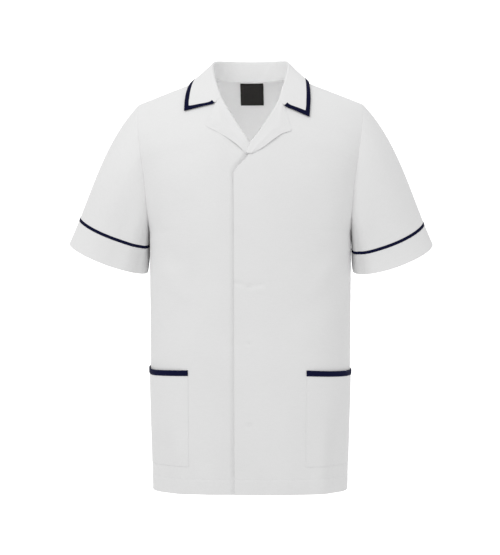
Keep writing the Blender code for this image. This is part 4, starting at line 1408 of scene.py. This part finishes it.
def collar_at(k, w):
    """Points of the collar at stations k and heights w, both with fractions."""
    k, w = both(k, w)
    return grid_at(table, np.clip(k / LAST_K * K_STEPS, 0, K_STEPS),
                   np.clip(w / LAST_W * W_STEPS, 0, W_STEPS))


def walk_in(k, w, step_k, step_w, width):
    """How far to go from the net's edge until a width is reached."""
    k, w = both(k, w)
    start = collar_at(k, w)
    low, high = np.zeros(k.shape), np.full(k.shape, 3.0)
    for _ in range(24):
        middle = (low + high) / 2
        there = collar_at(k + step_k * middle, w + step_w * middle)
        short = np.linalg.norm(there - start, axis=-1) < width
        low = np.where(short, middle, low)
        high = np.where(short, high, middle)
    return low


def from_end(hand, w):
    """How far the binding reaches in from one end of the collar at heights w."""
    return walk_in(LAST_K if hand > 0 else 0.0, w, -hand, 0, COLLAR_TRIM)


def inner_w(k):
    return LAST_W - walk_in(k, LAST_W, 0, -1, COLLAR_TRIM)


print("binding at the back starts at height", float(inner_w(LAST_K / 2)), "of", LAST_W)

# %% Collar cloth
TRIM_START_W = NOTCH_W + 0.2
end_w = np.linspace(TRIM_START_W, LAST_W, 25)
inset = {hand: from_end(hand, end_w) for hand in (-1, 1)}
s = lines(0.0, 1.0, 1 / 260, fine=0.0006, reach=0.003)
upper = lines(0.0, NOTCH_W, 0.16, fine=0.06, reach=0.08)
lower = lines(0.0, 1.0, 0.05, fine=0.02, reach=0.03)
k_rows, w_rows = [], []
for w in upper:
    k_rows.append(s * LAST_K)
    w_rows.append(np.full(len(s), w))
top_w = inner_w(s * LAST_K) - 0.02
for f in lower:
    w = (NOTCH_W + 0.16) + f * (top_w - NOTCH_W - 0.16)
    left = np.interp(w, end_w, inset[-1]) + 0.004
    right = LAST_K - np.interp(w, end_w, inset[1]) - 0.004
    k_rows.append(left + s * (right - left))
    w_rows.append(w)
w_rows = np.array(w_rows)
piece = Piece(collar_at(np.array(k_rows), w_rows), (0.0, 0.0, 1.0))
piece.turn_to(piece.normal[np.argmin(np.abs(upper - ROLL_W)), len(s) // 2, 2])
# Columns: share, w, lean, wide, tall, depth.
CREASE_ROWS = np.array([
    (0.36, 2.1, 0.02, 0.018, 0.55, 1.3),
    (0.40, 2.6, -0.05, 0.022, 0.7, -1.1),
    (0.60, 2.4, 0.03, 0.014, 0.9, 1.1),
    (0.64, 2.7, 0.02, 0.014, 0.9, -0.8),
    (0.52, 3, 0, 0.050, 0.5, -0.5),
])
out = np.zeros(w_rows.shape)
for share, w, lean, wide, tall, depth in CREASE_ROWS:
    off = (s[None] - share - lean * (w_rows - w)) / wide
    out += depth * np.exp(-(off ** 2) - ((w_rows - w) / tall) ** 2)
piece.lift(out)
sew("collar", piece, white, 1.1)

# %% Navy binding of the collar
corner_k = {-1: inset[-1][-1], 1: LAST_K - inset[1][-1]}
n_end, n_edge = 20, 340
end_fine = np.linspace(TRIM_START_W, LAST_W, n_end)
outer_k = np.concatenate([np.zeros(n_end - 1), np.linspace(0, LAST_K, n_edge),
                          np.full(n_end - 1, LAST_K)])
outer_w = np.concatenate([end_fine[:-1], np.full(n_edge, LAST_W), end_fine[-2::-1]])
corner_w = {hand: float(inner_w(corner_k[hand])) for hand in (-1, 1)}
run_k = np.linspace(corner_k[-1], corner_k[1], n_edge)
side_w = {hand: np.linspace(NOTCH_W - 0.15, corner_w[hand], n_end)[:-1] for hand in (-1, 1)}
right_k = LAST_K - from_end(1, side_w[1])
in_k = np.concatenate([from_end(-1, side_w[-1]), run_k, right_k[::-1]])
in_w = np.concatenate([side_w[-1], inner_w(run_k), side_w[1][::-1]])
outer_line, inner_line = collar_at(outer_k, outer_w), collar_at(in_k, in_w)
f = lines(0.0, 1.0, 0.14, fine=0.03, reach=0.05)[:, None, None]
piece = Piece(inner_line[None] * (1 - f) + outer_line[None] * f, (0.0, 0.0, 1.0))
piece.turn_to(piece.normal[:, len(outer_k) // 2, 2].mean())
piece.lift(0.3 * np.sin(np.pi * piece.v / piece.tall) + 0.1)
sew("collar_trim", piece, navy, 1.5)
stitches("collar_trim_stitches", [straight(piece, 1.3, 2.0, 0.75)], navy_thread)

# %% [markdown]
# ## Label
# A small woven label is sewn inside the back of the neck. It is left bare.

# %% Label
FOOT_Z = 22.0
LABEL_STITCH_IN = 1.4
LABEL_HALF = 22.0
label_x = lines(-LABEL_HALF, LABEL_HALF, 1.6, fine=0.3)
label_z = lines(-17.0, 30.0, 1.6, fine=0.3)
behind = 2.3 + 2.0 * ease(label_z, 16.0, 21.5)[:, None]
below = on_body(BACK, label_x[None], np.minimum(label_z, FOOT_Z)[:, None], -behind)
grid = below + np.array([0.0, 0.0, 1.0]) * np.maximum(label_z - FOOT_Z, 0.0)[:, None, None]
piece = Piece(grid, (0.0, -1.0, 0.0))
piece.lift(0.15 * np.sin(piece.u / 9.0) + groove(piece.from_edges() - LABEL_STITCH_IN, 0.12, 0.5))
sew("neck_label", piece, black, wall=0.6)
low, right, top = LABEL_STITCH_IN, piece.wide - LABEL_STITCH_IN, piece.tall - LABEL_STITCH_IN
path = [(low, low), (right, low), (right, top), (low, top), (low, low)]
stitches("label_stitches", [along_cloth(piece, path, 0.3)], black)
